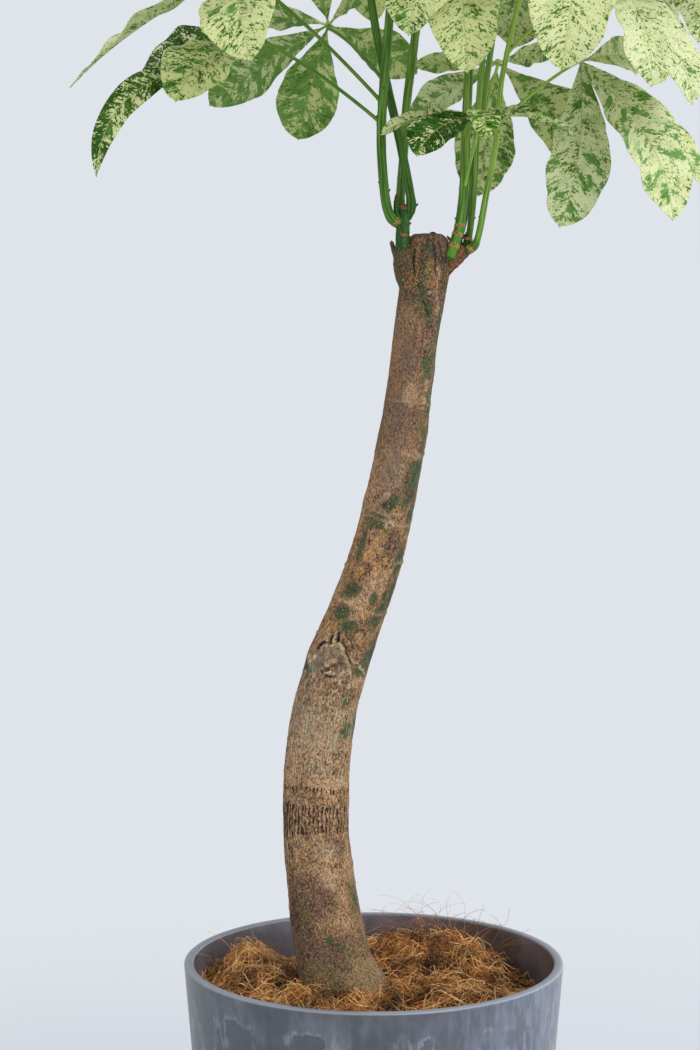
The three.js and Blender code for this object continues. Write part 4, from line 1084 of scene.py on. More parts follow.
def trunk_relief(a, ring_z, z, r):
    """Height of the bark over the plain round stem, and the values its material reads; ring_z is
    the height of a point's ring on the trunk's line, z its own height.

    Slow waves round the stem and a few humps, as on the solid; then noise in long upright grains,
    rings at old leaf nodes, and the healed scar with its hollows, ringed eye and ridge. The other
    values are where the bark is dark, rusty or pale, where it has splits, pale lines and blue
    marks, and where it is healed or orange. Lines are bent by a noise of up to about 1.7 mm.
    """
    def near(a0, z0, wide, high):
        return np.exp(2 * (np.cos(a - a0) - 1) / wide ** 2 - ((ring_z - z0) / high) ** 2)

    skin = np.stack([np.cos(a) * r, np.sin(a) * r, z + 0 * a], -1)
    bent_a = a + 1.7 * rough(skin / 4.5, 29, 3) / r
    bent_z = z + 1.7 * rough(skin / 4.5, 37, 3)

    def lines(rows):
        return np.max([hump(streak(bent_a, bent_z, r, *line) / wide) for *line, wide in rows],
                      axis=0)

    def spots(rows):
        return np.max([hump(np.hypot(angle_gap(bent_a, a0) * r / wide, (bent_z - z0) / high))
                       for a0, z0, wide, high in rows], axis=0)

    bump = 0.022 * r * np.sin(3 * a + ring_z * 0.011) + 0.016 * r * np.sin(5 * a - ring_z * 0.02)
    bump = bump + sum(rise * near(*place) for rise, *place in [
        (2.8, -1.85, 522, 0.6, 14), (1.8, -1.1, 541, 0.3, 9), (1.6, 2.9, 516, 0.6, 12),
        (1.2, -0.4, 700, 0.5, 10), (1.4, 0.6, 360, 0.7, 20), (1.3, 3.3, 640, 0.5, 10)])
    grain = rough(skin / (3.2, 3.2, 13), 3, 3)
    lumps = rough(skin / (13, 13, 24), 5, 3)
    crumbs = rough(skin / (1.9, 1.9, 3.4), 11, 2)
    low, head = eased(420, 300, z), eased(795, 825, z)
    healed = hump(np.hypot(angle_gap(a, -1.95) * r / 20, (z - 519) / 13))
    wrinkled = hump((ring_z - 501) / 8) * eased(1.6, 1.0, angle_gap(a, -1.6))
    bump = bump + 0.7 * lumps + (0.25 + 0.3 * low + 0.45 * head) * grain * (1 - 0.6 * healed) + (
        0.2 + 0.14 * low + 0.45 * wrinkled) * crumbs
    # rings at old nodes
    wander = 2.2 * rough(skin / (14, 14, 60), 17, 2)
    node = sum(
        strong * hump((ring_z - z0 + wander) / 1.1) * eased(wide + 0.3, wide, angle_gap(a, a0))
        for a0, z0, strong, wide in [
            (-1.3, 722, 0.5, 1.5), (-0.7, 683, 1.0, 0.8), (-1.4, 631, 1.0, 1.0),
            (-0.3, 602, 1.1, 0.5), (2.9, 588, 1.0, 0.6), (-1.3, 563, 0.7, 1.6),
            (-1.5, 453, 0.5, 2.0), (-1.6, 503, 0.35, 1.5), (1.6, 655, 0.8, 1.2),
            (1.4, 750, 0.7, 1.3), (1.8, 530, 0.8, 1.2)])
    bump = bump + 0.75 * node - 0.3 * np.roll(node, 3, axis=0)
    # the healed scar: dark slots along its top, the eye in its rings, the pale ridge that falls to
    # the right beside a dark line, a second long loop, and folds below
    eye = np.hypot((bent_a + 1.8) * r, (bent_z - 514.5) * 1.05)
    ring = hump((eye - 6.0) / 1.2)
    slots = lines([(-2.59, 529, -2.42, 533, 1.5), (-2.42, 533, -2.31, 535.3, 1.1),
                   (-2.16, 539.3, -2.07, 533.8, 1.1), (-1.97, 541, -1.9, 536.5, 0.9)])
    groove = lines([(-1.79, 536.5, -1.6, 530, 0.8), (-1.6, 530, -1.4, 523.5, 1.0),
                    (-1.4, 523.5, -1.26, 518, 0.6), (-2.1, 512, -1.86, 508, 0.9),
                    (-1.86, 508, -1.6, 507, 0.7)])
    ridge = lines([(-2.12, 531.7, -1.8, 534.3, 1.0), (-1.8, 534.3, -1.6, 527.3, 1.3),
                   (-1.6, 527.3, -1.35, 520.6, 1.2), (-1.35, 520.6, -1.13, 506, 1.2),
                   (-1.3, 520.6, -1.05, 517.6, 0.8), (-0.9, 515.6, -0.5, 508.5, 1.0),
                   (-2.5, 532.5, -2.3, 537.5, 1.1), (-2.25, 541, -2.2, 536, 0.8),
                   (-2.04, 542, -2.0, 535.5, 0.8)])
    heart = spots([(-2.8, 521.4, 2.1, 2.2), (-2.5, 521.8, 2.0, 2.1), (-2.63, 518.2, 1.9, 2.3),
                   (-1.43, 511, 1.6, 2.2)])
    loop = lines([(-1.33, 530, -1.46, 538, 0.8), (-1.46, 538, -1.4, 543.6, 0.8),
                  (-1.4, 543.6, -1.22, 544.3, 0.8), (-1.22, 544.3, -1.02, 537.5, 0.8),
                  (-1.02, 537.5, -1.0, 532, 0.7)])
    blush = lines([(-1.02, 536, -0.98, 529, 1.0), (-0.98, 529, -0.92, 522, 1.0)])
    seed = hump((np.hypot((a + 1.29) * r, z - 540.6) - 1.5) / 0.6)
    folds = lines([(-3.04, 508.5, -2.45, 508, 1.2), (-2.77, 501.4, -1.9, 501.5, 1.2),
                   (-1.5, 500, -0.95, 499, 1.1), (-2.3, 497, -1.5, 495.5, 1.0)])
    bump = bump + 0.9 * ring - 0.8 * hump(eye / 3.4) + 2.4 * crumbs * hump(eye / 4.5)
    bump = bump - 3.2 * slots - 1.9 * groove + 2.0 * ridge + 1.2 * heart
    bump = bump - 1.0 * loop + 0.7 * blush + 0.6 * seed + 0.5 * folds
    dots = [(-1.42, 627, 1.9), (-1.1, 768, 1.0), (-1.75, 650, 1.4), (-0.8, 590, 1.3)]
    knot = sum(hump((np.hypot((a - a0) * r, z - z0) / size - 1.3) / 0.5) for a0, z0, size in dots)
    bump = bump + 0.7 * knot
    # head: a seam at the right, a pale line under the rusty leaf scar; loose flakes lower down
    seam = lines([(-1.12, 830, -0.95, 818, 0.8), (-0.95, 818, -0.8, 802, 0.9),
                  (-0.8, 802, -0.72, 790, 0.8)])
    flake = lines([(-1.36, 805.5, -0.98, 806, 0.8), (-1.0, 726, -0.8, 722, 1.4),
                   (-0.88, 738, -0.8, 730, 1.3), (-1.9, 637, -1.35, 630, 0.9),
                   (-0.95, 684, -0.6, 680, 1.3), (-2.2, 566, -1.7, 567, 0.8),
                   (-1.3, 364, -1.2, 372, 2.0), (-1.0, 352, -0.8, 351, 1.2)])
    crease = lines([(-1.3, 843, -1.12, 822, 0.9), (-0.62, 836, -0.72, 812, 1.0),
                    (-2.2, 838, -2.05, 822, 0.7), (-2.7, 830, -2.3, 806, 0.8),
                    (-1.0, 846, -0.85, 828, 0.9), (-1.5, 800, -1.2, 790, 0.7)])
    bump = bump + 0.8 * seam + 0.8 * flake - 1.2 * crease
    dark = np.clip(1.2 * slots + 0.95 * groove + 0.8 * loop
                   + 0.55 * hump((eye - 7.6) / 0.8) * eased(-0.1, 0.5, np.sin(2 * a + 0.35 * z))
                   + 0.7 * hump(eye / 4.6) * eased(-0.04, -0.2, crumbs)
                   + 0.75 * crease + 0.35 * head * eased(0.1, 0.5, grain)
                   + 0.45 * wrinkled * eased(0.0, -0.25, crumbs)
                   + 0.8 * spots([(-0.6, 690, 1.1, 1.1), (-1.75, 643, 1.9, 1.9),
                                  (-1.42, 627, 0.9, 0.9), (-0.85, 596, 1.0, 1.6),
                                  (-1.63, 519.6, 2.0, 2.4)]), 0, 1)
    rust = np.clip(0.8 * spots([(-1.12, 812, 3.2, 2.8), (-0.62, 706, 2.4, 2.6),
                                (-0.8, 590, 1.2, 1.2)])
                   + 0.3 * node + 0.6 * hump(eye / 5.0) + 0.6 * blush, 0, 0.9)
    pale = np.clip(0.8 * ridge + 1.0 * heart + 0.25 * node + 0.5 * seam + 0.42 * flake
                   + 0.5 * knot + 0.2 * folds + 0.6 * seed + 0.25 * ring
                   + 1.7 * hump(eye / 4.8) * eased(-0.1, 0.02, crumbs)
                   + 0.4 * wrinkled * eased(0.1, 0.3, crumbs), 0, 0.9)
    band = 1.1 * hump((ring_z - 416 + wander) / 3.2)
    band = band + eased(378, 384, ring_z) * eased(409, 402, ring_z)
    band = band * eased(2.0, 1.5, angle_gap(a, -1.55))
    left = 0.95 * hump(angle_gap(a, -2.75) / 0.5) * eased(285, 320, z) * eased(430, 380, z)
    veined = eased(412, 430, ring_z) * eased(510, 490, ring_z) * eased(2.1, 1.6, angle_gap(a, -1.9))
    blue = spots([(-2.41, 523.9, 3.2, 1.5), (-2.11, 527.6, 4.5, 1.6), (-1.85, 528.9, 3, 1.5),
                  (-2.48, 511, 3.4, 3.2), (-2.4, 515.5, 2.4, 2.6), (-2.25, 520, 2.4, 2.0),
                  (-2.85, 524.3, 1.8, 2.4), (-1.36, 512.4, 1.4, 2.8)])
    orange = np.maximum(eased(795, 815, z) * eased(-0.6, -1.3, a), hump(eye / 6))
    return (bump, (dark, rust, pale), (np.clip(band + left, 0, 1.15), veined, blue),
            (healed, orange))


def bark_tones(a, z):
    """Where the bark is smooth and grey, mossy, and warm: patches, low down, and in the middle."""
    grey = patches(a, z, GREY_PATCHES)
    moss = patches(a, z, MOSS_PATCHES) * 0.6 + 0.42 * eased(305, 262, z)
    warm = eased(480, 545, z) * eased(660, 600, z) * 0.8 + 0.3 * eased(640, 700, z) * (
        eased(800, 760, z))
    return grey, moss, warm * (1 - grey)


def dusk(a, z):
    """Where the bark is dusky: its patches, the upper third and the foot."""
    general = 0.5 * eased(650, 700, z) + 0.5 * eased(790, 815, z) + 0.62 * eased(345, 290, z)
    return np.maximum(patches(a, z, DUSKY_PATCHES), general)


def grow_trunk():
    """Rings across the trunk's line: centre + (radius + relief)(right cos a + deep sin a). The
    rings lie closer at the scar and the head and wider under the soil, and the angle is
    a = u - 0.3 cos u for even u, so that columns lie closer at the front."""
    skin = Skin()
    t = even_shares(TRUNK, 4000)
    height = curve(TRUNK, t)[0][:, 2]
    dense = np.cumsum(0.2 + 0.8 * eased(232, 240, height) + 0.7 * hump((height - 520) / 26)
                      + 0.5 * hump((height - 825) / 26))
    t = np.interp(np.linspace(dense[0], dense[-1], TRUNK_RINGS), dense, t)
    place, ahead = curve(TRUNK, t)
    centre, radius, ahead = place[:, :3], place[:, 3:], unit(ahead[:, :3])
    right = unit(np.array([1.0, 0, 0]) - ahead * ahead[:, :1])
    deep = np.cross(ahead, right)
    a = turns(TRUNK_COLUMNS)[None] - 1.5 * math.pi
    a = a - 0.3 * np.cos(a)
    z = centre[:, 2:] + radius * (right[:, 2:] * np.cos(a) + deep[:, 2:] * np.sin(a))
    bump, scar, split, (healed, orange) = trunk_relief(a, centre[:, 2:] + 0 * a, z, radius)
    bump = bump * eased(0, 0.02, 1.004 - t)[:, None]
    girth = radius + bump
    rings = centre[:, None] + girth[..., None] * (
        right[:, None] * np.cos(a)[..., None] + deep[:, None] * np.sin(a)[..., None])
    # the cut top: rings that close towards its middle over a faintly dished, rough face
    shrink = np.reshape([0.93, 0.84, 0.7, 0.54, 0.38, 0.22, 0.08], (-1, 1, 1))
    top = centre[-1] + (rings[-1] - centre[-1]) * shrink
    top[..., 2] += 0.5 * rough(top / 3.5, 31, 3) + 0.5 * (1 - shrink[..., 0])
    rings = np.concatenate([rings, top])
    more = len(shrink)

    def on_top(values, last):
        return tuple(np.concatenate([value + 0 * z, np.full((more, a.shape[1]), last)])
                     for value in values)

    z_all = on_top([z], 851)[0]
    a_all = np.concatenate([0 * z + a, np.repeat(a, more, 0)])
    grey, moss, warm = bark_tones(a_all, z_all)
    smooth, orange = on_top([healed, orange], 0)
    skin.add(rings, patch=(patches(a_all, z_all, GREEN_PATCHES), dusk(a_all, z_all),
                           patches(a_all, z_all, PALE_PATCHES)),
             scar=on_top(scar, 0.05), split=on_top(split, 0.0),
             tone=(np.maximum(grey, np.minimum(1.2 * smooth, 1)), moss, warm * (1 - smooth)),
             round=((a_all + math.pi / 2) * 2.6, orange, 0.0))
    for number, (points, radii) in enumerate(TWIGS):
        t = np.linspace(0, 1, 34)
        place, _ = curve(np.column_stack([points, radii]), t)
        path = place[:, :3]
        plain = tube(path, place[:, 3], 30, (0.1, 1, 0.05))
        relief = 0.5 * rough(plain / (1.8, 1.8, 5), 41 + number, 3)
        rings = tube(path, place[:, 3:] + relief, 30, (0.1, 1, 0.05))
        ahead = unit(path[-1] - path[-2])
        end = path[-1] + (rings[-1] - path[-1]) * np.reshape([0.8, 0.55, 0.25], (-1, 1, 1))
        end += 0.35 * rough(end / 1.5, 51, 2)[..., None] * ahead
        end += ahead * np.reshape([0.5, 0.9, 1.1], (-1, 1, 1)) * (number > 0)
        rings = np.concatenate([rings, end])
        share = np.concatenate([t, [1, 1, 1]])[:, None]
        bud, stub = number == 1, number == 0
        dark, rusty, cut = (0.82, 0.9, 0.0) if bud else (0.34, 0.5, 0.7) if stub else (
            0.15, 0.1, 0.25 if number == 2 else 0.0)
        skin.add(rings, patch=(0.8 if number > 2 else 0.1, 0.75 + 0 * share, 0.0),
                 scar=(dark * eased(0.0, 0.25, share), rusty * eased(0.0, 0.25, share),
                       cut * eased(0.96, 1, share)),
                 tone=(0.0, 0.2, 0.2), split=((0.4 if stub else 0.0), 0.0, 0.0),
                 round=(0.0, 0.6, 0.0))
    skin.piece("trunk_bark", BARK, "bark", "trunk")


# ------------------------------------------------------------------ pot, soil and coir

# dark lobes below the pot's plain band: angle, half width and top
LOBES = [(-2.52, 0.07, 262), (-2.39, 0.07, 266), (-2.28, 0.06, 262), (-1.97, 0.06, 262),
         (-1.87, 0.07, 266), (-1.42, 0.05, 264), (-1.3, 0.05, 262), (-0.98, 0.06, 266),
         (-0.86, 0.07, 262), (-0.7, 0.07, 268), (-0.42, 0.08, 264), (0.2, 0.16, 266),
         (0.62, 0.1, 258), (0.9, 0.16, 264), (1.7, 0.2, 268), (2.2, 0.08, 260), (2.5, 0.14, 266),
         (-2.8, 0.1, 266)]
# the mat's middle, its inner radius there, and how far its body lies below the loose fibre
MAT_MIDDLE, MAT_INNER, MAT_DEPTH = (-19.7, -14.0), 29.0, 3.5
# heaps and hollows of the coir: place, width and height
HILLS = [(-104, 42, 24, 13), (-92, 22, 30, 8), (36, 84, 44, 13), (76, 66, 30, 7),
         (-58, 100, 40, -18), (118, 30, 42, -14), (56, 42, 16, -7), (12, 56, 14, -6),
         (88, 6, 18, -4), (10, -90, 60, -2), (64, -50, 34, 5)]
# fibres reach this far from the pot's axis, and are drawn to two heaps: place and spread
COIR_REACH = 139
LEFT_HEAP, RIGHT_HEAP = (-100, 40, 20, 24), (56, 66, 34, 28)
# fibres that lean on the trunk's foot; long hairs, the tall ones among them, and their left heap
FOOT_FIBRES, FOOT_MIDDLE = 150, (-21, -14)
HAIRS, TALL_HAIRS, HAIR_HEAP = 260, 70, (-94, 44)


def pot_outside(z):
    return POT_FOOT_RADIUS + (POT_RIM_RADIUS - POT_FOOT_RADIUS) * z / POT_HEIGHT


def pot_inside(z):
    return pot_outside(z) - POT_WALL


def corner(a, b, c, steps=6):
    """Rounds the corner b between a and c: a parabola that leaves a towards b and ends at c."""
    t = np.linspace(0, 1, steps + 1)[:, None]
    return (1 - t) ** 2 * np.array(a) + 2 * t * (1 - t) * np.array(b) + t ** 2 * np.array(c)


def make_pot():
    """A profile of radius and height turned round the axis: foot, outer wall, rounded rim, inner
    wall and floor. The drain holes and channels are cut out of it afterwards."""
    top = POT_HEIGHT
    z_out = np.linspace(6, top - 2.6, 56)
    z_in = np.linspace(top - 2, POT_FLOOR + 8, 40)
    profile = np.vstack([
        np.column_stack([np.linspace(0.5, pot_outside(0) - 5, 12), np.zeros(12)]),
        corner((pot_outside(0) - 4, 0), (pot_outside(0), 0), (pot_outside(4), 4)),
        np.column_stack([pot_outside(z_out), z_out]),
        corner((pot_outside(top - 2), top - 2), (pot_outside(top), top),
               (pot_outside(top) - 1.8, top)),
        corner((pot_inside(top) + 1.4, top), (pot_inside(top), top),
               (pot_inside(top - 1.6), top - 1.6)),
        np.column_stack([pot_inside(z_in), z_in])[1:],
        corner((pot_inside(POT_FLOOR + 6), POT_FLOOR + 6), (pot_inside(POT_FLOOR), POT_FLOOR),
               (pot_inside(POT_FLOOR) - 6, POT_FLOOR)),
        np.column_stack([np.linspace(pot_inside(POT_FLOOR) - 12, 0.5, 12),
                         np.full(12, POT_FLOOR)])])
    a = turns(224)
    r, z = profile[:, :1], profile[:, 1:]
    skin = Skin()
    skin.add(np.stack([r * np.cos(a), r * np.sin(a), z + 0 * a], -1))
    pot = skin.piece("pot_shell", POT, "pot", "pot")

    cuts = Skin()
    for i in range(DRAIN_HOLES):
        out = outward(TURN * (i + 0.5) / DRAIN_HOLES)
        aside = np.cross((0, 0, 1), out)
        ring = turns(40)[:, None]
        hole = out * DRAIN_CIRCLE + DRAIN_RADIUS * (out * np.cos(ring) + aside * np.sin(ring))
        cuts.add(np.stack([hole + (0, 0, h) for h in (-14, 14)]))
        box = np.array([[DRAIN_CIRCLE, -1], [147, -1], [147, 1], [DRAIN_CIRCLE, 1]]) * (
            1, CHANNEL_WIDTH / 2)
        slab = box[:, :1] * out + box[:, 1:] * aside
        cuts.add(np.stack([slab + (0, 0, h) for h in (-CHANNEL_DEPTH, CHANNEL_DEPTH)]))
    cutter = cuts.piece("pot_cutter", POT, "pot")
    cut = pot.modifiers.new("drain", "BOOLEAN")
    cut.operation, cut.solver, cut.object, cut.use_self = "DIFFERENCE", "EXACT", cutter, True
    whole = bpy.data.meshes.new_from_object(
        pot.evaluated_get(bpy.context.evaluated_depsgraph_get()))
    pot.modifiers.clear()
    pot.data = whole
    bpy.data.objects.remove(cutter)
    whole.shade_smooth()
    whole.set_sharp_from_angle(angle=math.radians(40))
    place = np.empty(3 * len(whole.vertices), np.float32)
    whole.vertices.foreach_get("co", place)
    wall = whole.attributes.new("wall", "FLOAT_VECTOR", "POINT")
    wall.data.foreach_set("vector", pot_values(*(place.reshape(-1, 3) / MM).T).astype(
        np.float32).ravel())


def pot_values(x, y, z):
    """The pot's rim, brightest along its outer edge with a pale line that is partly wear and partly
    painted highlight, its inside, and where blotches hang in lobes below a plain band: numbers that
    its material reads, from each point's place."""
    r, a = np.hypot(x, y), np.arctan2(y, x)
    top = POT_HEIGHT
    inside = (r < pot_outside(z) - 0.6 * POT_WALL) * (z > POT_FLOOR - 1) * 1.0
    # the rim's pale line: partly wear, partly a painted highlight along its outer edge
    rim = eased(top - 1.7, top - 0.5, z) * (
        0.35 + 0.65 * eased(pot_inside(z) + 0.6, pot_outside(z) - 2, r))
    lobes = sum(hump(angle_gap(a, a0) / wide) * eased(z0 + 6, z0 - 9, z) for a0, wide, z0 in LOBES)
    lower = 0.25 * eased(250, 205, z) + 0.06 * np.sin(3 * a + 1) - 0.3 * eased(258, 270, z)
    return np.stack([rim, inside, np.where(inside > 0, 0.0, 0.5 * lobes + lower)], -1)


# layers of loose fibre: piece, count, and the ranges of length, height over the mat and radius,
# then how pale the layer is; the low layers are darker as painted shade in the tangle's depths
LAYERS = [("coir_tangle_low", 3200, (16, 44), (-2, 1.5), (0.2, 0.34), 0.26),
          ("coir_tangle_mid", 3200, (18, 60), (0, 5.0), (0.16, 0.3), 0.42),
          ("coir_tangle_loose", 2600, (18, 56), (1, 11), (0.15, 0.27), 0.5),
          ("coir_tangle_top", 2300, (26, 105), (2, 17), (0.17, 0.35), 0.76)]


def coir_height(x, y):
    """Height of the mat: its level, heaps and hollows, short waves, and a lower border."""
    def hill(cx, cy, wide, high):
        return high * np.exp(-((x - cx) ** 2 + (y - cy) ** 2) / wide ** 2)

    z = COIR_LEVEL + sum(hill(*row) for row in HILLS)
    z = z + 2.2 * np.sin(x * 0.19 + y * 0.07) * np.sin(y * 0.16 - x * 0.05 + 1.3)
    z = z + 1.5 * np.sin(x * 0.31 - 0.8) * np.sin(y * 0.27 + x * 0.09)
    return z - 9 * eased(112, 138, np.hypot(x, y))


def clear_of_walls(x, y, z, margin):
    """Moves places sideways so that they stay inside the pot's wall and outside the trunk."""
    reach = np.hypot(x, y)
    pull = np.minimum(1, (pot_inside(z) - margin) / np.maximum(reach, 1e-6))
    x, y = x * pull, y * pull
    cx, cy, stem = (np.interp(z, TRUNK[:, 2], TRUNK[:, column]) for column in (0, 1, 3))
    gap = np.hypot((x - cx) * 0.95, y - cy)
    push = np.maximum(1, (stem + margin) / np.maximum(gap, 1e-6))
    return cx + (x - cx) * push, cy + (y - cy) * push


def make_coir_mat():
    """The mat's body: its top runs out from the trunk to the pot's wall, each ring a share of the
    way, at the mat's height less 3.5 mm and roughened; its flat bottom lies on the soil."""
    turn = turns(300)
    cx, cy = MAT_MIDDLE
    dx, dy = np.cos(turn), np.sin(turn)
    limit = pot_inside(COIR_LEVEL) - 0.4
    along = cx * dx + cy * dy
    reach = -along + np.sqrt(along ** 2 + limit ** 2 - cx ** 2 - cy ** 2)
    s = np.linspace(0, 1, 96)[:, None]
    way = MAT_INNER + (reach - MAT_INNER) * s
    x, y = cx + way * dx, cy + way * dy
    z = coir_height(x, y) - MAT_DEPTH + 1.1 * rough(np.stack([x / 5, y / 5, 0 * x], -1), 61, 4)
    z = z - 3.5 * eased(0.94, 1, s)
    top = np.stack([x, y, z], -1)
    floor = SOIL_TOP + GAP + 0 * dx
    low = np.stack([np.stack([cx + w * dx, cy + w * dy, floor], -1)
                    for w in (reach - 2.6, (reach + MAT_INNER) / 2, MAT_INNER + 3)])
    shell = np.swapaxes(np.concatenate([top, low]), 0, 1)
    skin = Skin()
    skin.add(np.concatenate([shell, shell[:1]]), strand=(0.2, 0.6, 0.0))
    skin.piece("coir_mat_body", COIR_MAT, "coir", "coir_mulch")


def add_strands(skin, draw, x0, y0, length, curl, lift, radius, sink, tone):
    """Curly fibres on the mat. A fibre's heading turns evenly by its curl and swings by a sine.
    Its height over the mat is lift times cos(pi s), for s from -1/2 to 1/2, less sink at its
    ends."""
    count = len(x0)
    s = np.linspace(-0.5, 0.5, 10)[None]
    heading = draw.uniform(0, TURN, (count, 1)) + curl[:, None] * s * length[:, None]
    heading = heading + draw.uniform(0.2, 1.3, (count, 1)) * np.sin(
        TURN * s * draw.uniform(0.6, 1.9, (count, 1)) + draw.uniform(0, TURN, (count, 1)))
    step = length[:, None] / 9
    x = np.cumsum(np.cos(heading), 1) * step
    y = np.cumsum(np.sin(heading), 1) * step
    x, y = x0[:, None] + x - x[:, 4:5], y0[:, None] + y - y[:, 4:5]
    rise = lift[:, None] * np.cos(np.pi * s) - sink[:, None] * (2 * s) ** 2
    rise = rise + (0.5 + 0.22 * lift[:, None]) * np.sin(
        TURN * s * 2 + draw.uniform(0, TURN, (count, 1)))
    z = coir_height(x, y) + rise
    x, y = clear_of_walls(x, y, z, 0.9)
    path = np.stack([x, y, z], -1)
    girth = radius[:, None] * (1 - 0.5 * np.abs(2 * s) ** 3)
    # painted shade: the lower a point of a fibre lies, the more its colour is darkened
    depth = np.clip(0.4 - rise / 6, 0, 1)
    skin.add(tube(path, girth, 3, (0.02, 0.03, 1.0)),
             strand=(tone[:, None, None], depth[..., None], 0.0))


def spread(draw, count, heap):
    """Places in the pot's round: even over the area, with a share drawn to the two heaps."""
    turn, far = draw.uniform(0, TURN, count), COIR_REACH * np.sqrt(draw.uniform(0, 1, count))
    x, y = far * np.cos(turn), far * np.sin(turn)
    drawn = draw.uniform(0, 1, count) < heap
    left = draw.uniform(0, 1, count) < 0.4
    hx, hy, wide, deep = (np.where(left, *pair) for pair in zip(LEFT_HEAP, RIGHT_HEAP))
    hx = hx + draw.normal(0, 1, count) * wide
    hy = hy + draw.normal(0, 1, count) * deep
    return np.where(drawn, hx, x), np.where(drawn, hy, y)


def lay_coir():
    """The mat, thousands of fibres in layers from matted to loose, those that lean over the
    trunk's foot, and the long hairs that arch up."""
    make_coir_mat()
    draw = np.random.default_rng(7)
    for name, count, long, high, thick, tone in LAYERS:
        skin = Skin()
        x, y = spread(draw, count, 0.35)
        curl = draw.normal(0, 0.05, count) * np.where(draw.uniform(0, 1, count) < 0.22, 2.6, 1)
        # painted light: fibres at the left are painted paler, in place of more light falling there
        shade = draw.normal(tone, 0.3, count) + 0.14 * eased(-30, -80, x)
        add_strands(skin, draw, x, y, draw.uniform(*long, count), curl,
                    draw.uniform(*high, count), draw.uniform(*thick, count),
                    draw.uniform(0.5, 4, count), np.clip(shade, 0, 1))
        skin.piece(name, COIR, "coir", "coir_mulch")
    # fibres that lean over the trunk's foot
    skin, count = Skin(), FOOT_FIBRES
    turn = draw.uniform(-2.9, -0.2, count)
    far = draw.uniform(36, 52, count)
    x, y = FOOT_MIDDLE[0] + far * np.cos(turn), FOOT_MIDDLE[1] + far * np.sin(turn)
    add_strands(skin, draw, x, y,
                draw.uniform(24, 66, count), draw.normal(0, 0.06, count),
                draw.uniform(5, 20, count), draw.uniform(0.16, 0.28, count),
                draw.uniform(0.5, 4, count), draw.uniform(0.45, 1, count))
    skin.piece("coir_at_trunk", COIR, "coir", "coir_mulch")
    # hairs: each leaves the mat steeply, leans out and bends over, by s less the square of s; the
    # last ones are the longest and stand behind, where they show over the rim
    skin, count = Skin(), HAIRS
    last = np.arange(count) >= count - TALL_HAIRS
    turn = np.where(last, draw.normal(1.15, 0.3, count), draw.normal(0.95, 0.5, count))
    far = np.where(last, draw.uniform(85, 126, count), draw.uniform(60, 130, count))
    x0, y0 = far * np.cos(turn), far * np.sin(turn)
    few = (draw.uniform(0, 1, count) < 0.45) & ~last
    x0 = np.where(few, HAIR_HEAP[0] + 22 * draw.normal(0, 1, count), x0)
    y0 = np.where(few, HAIR_HEAP[1] + 26 * draw.normal(0, 1, count), y0)
    s = np.linspace(0, 1, 14)[None]
    length = draw.uniform(24, 100, count)[:, None] * np.where(few, 0.75, 1)[:, None]
    length = np.where(last[:, None], np.clip(length, 50, 92), length)
    heading = draw.uniform(0, TURN, (count, 1)) + draw.normal(0, 2.6, (count, 1)) * s
    climb = np.where(last[:, None], draw.uniform(0.75, 1.0, (count, 1)),
                     draw.uniform(0.25, 1.0, (count, 1)))
    step = length / 14 * np.sqrt(1 - climb ** 2 * 0.8)
    x = x0[:, None] + np.cumsum(np.cos(heading), 1) * step
    y = y0[:, None] + np.cumsum(np.sin(heading), 1) * step
    z = coir_height(x0, y0)[:, None] - 1 + length * (climb * s - 0.5 * climb * s ** 2)
    path = np.stack([*clear_of_walls(x, y, np.minimum(z, 279), 1.2), z], -1)
    skin.add(tube(path, draw.uniform(0.12, 0.22, (count, 1)) * (1 - 0.5 * s), 3, (0.3, 0.2, 1.0)),
             strand=(draw.uniform(0.3, 0.85, count)[:, None, None], 0.0, 0.0))
    skin.piece("coir_hairs", COIR, "coir", "coir_mulch")


grow_leaves()
grow_shoots()
grow_trunk()
make_pot()
lay_coir()
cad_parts["soil"].data.materials.clear()
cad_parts["soil"].data.materials.append(SOIL)

# ------------------------------------------------------------------ floor and light

BACKDROP = (0.74, 0.775, 0.825, 1)
SUNS = [("key", (0.68, -0.95, 0.78), 1.7, 0.7), ("front", (-0.1, -1.0, 0.12), 0.32, 1.4),
        ("rim", (0.97, 0.1, 0.3), 0.45, 0.9), ("fill", (-0.95, -0.2, 0.45), 0.8, 1.1)]


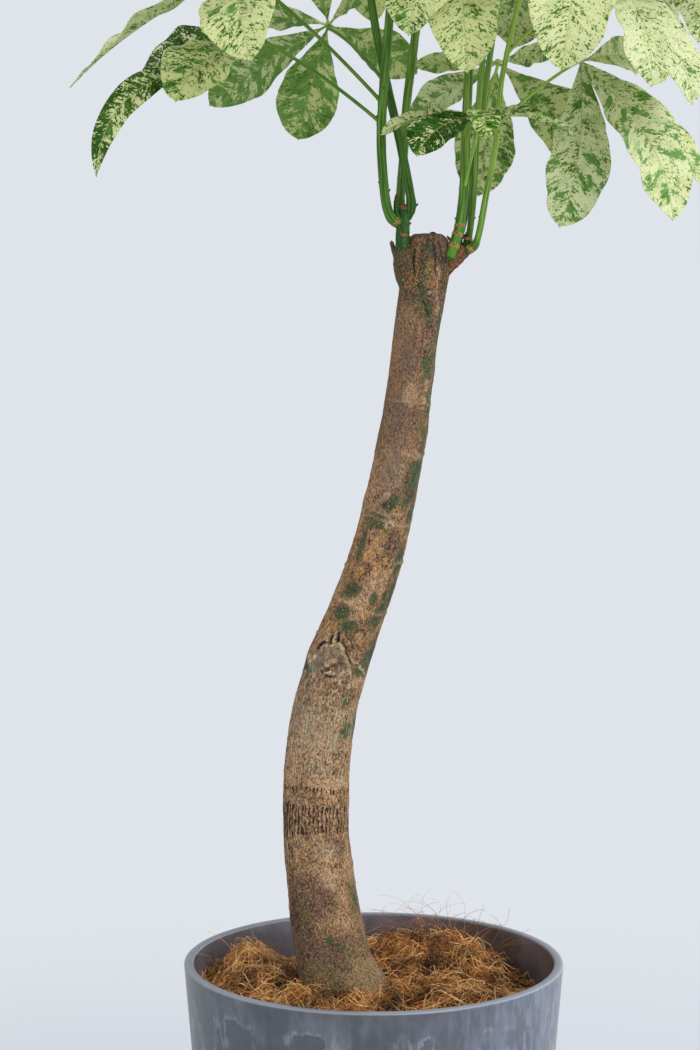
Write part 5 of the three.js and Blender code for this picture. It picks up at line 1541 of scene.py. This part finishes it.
def floor_finish(tree):
    """Pale floor that takes the soft shadow near the pot and turns into the even studio
    backdrop's own light further out."""
    far = put("VectorMath", {0: object_place(tree)}, "Value", operation="LENGTH")
    away = put("MapRange", {"Value": far, "From Min": 0.35, "From Max": 1.3},
               interpolation_type="SMOOTHSTEP")

    def fade(shader):
        glow = put("Emission", {"Color": BACKDROP, "Strength": 1.0}, tree=tree)
        return put("MixShader", {0: away, 1: shader, 2: glow})

    return {"Base Color": (0.6, 0.63, 0.66, 1), "Roughness": 0.9}, fade


def lay_floor():
    """A wide round floor just under the pot's foot."""
    turn = turns(64)
    far = np.array([0.001, 0.3, 0.9, 2.0, 8.0])[:, None] * 1000
    top = np.stack([far * np.cos(turn), far * np.sin(turn), 0 * far + 0 * turn - 0.4], -1)
    skin = Skin()
    skin.add(np.concatenate([top, top[::-1] - (0, 0, 4)]))
    floor = skin.piece("floor", material("floor", floor_finish), "pot")
    del floor["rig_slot"]
    floor.parent = None


def light_stage():
    """A pale world that the camera sees as even, that casts more light from the right and is
    mirrored brightest there, and four soft suns: the key from the right, a rim light from behind
    at the right, and weak ones from the front and left."""
    world = bpy.data.worlds.new("studio")
    bpy.context.scene.world = world
    world.use_nodes = True
    tree = world.node_tree
    tree.nodes.clear()
    right = parts(put("TexCoord", {}, "Generated", tree))[0]

    def sky(strength):
        return put("Background", {"Color": BACKDROP, "Strength": strength}, tree=tree)

    def brighter(start, most):
        return put("MapRange", {"Value": right, "From Min": start, "From Max": 1.0,
                                "To Min": 0.6, "To Max": most})

    def by_ray(kind, others, such):
        return put("MixShader", {0: put("LightPath", {}, kind, tree), 1: others, 2: such})

    cast = by_ray("Is Glossy Ray", sky(brighter(-0.3, 1.25)), sky(brighter(-0.1, 3.0)))
    fill(tree.nodes.new("ShaderNodeOutputWorld"),
         {"Surface": by_ray("Is Camera Ray", cast, sky(1.0))})
    for name, toward, strength, soft in SUNS:
        lamp = bpy.data.objects.new(name, bpy.data.lights.new(name, "SUN"))
        lamp.data.energy, lamp.data.angle = strength, soft
        lamp.rotation_euler = Vector(toward).to_track_quat("Z", "Y").to_euler()
        bpy.context.scene.collection.objects.link(lamp)
    bpy.context.scene.view_settings.view_transform = "Standard"


lay_floor()
light_stage()
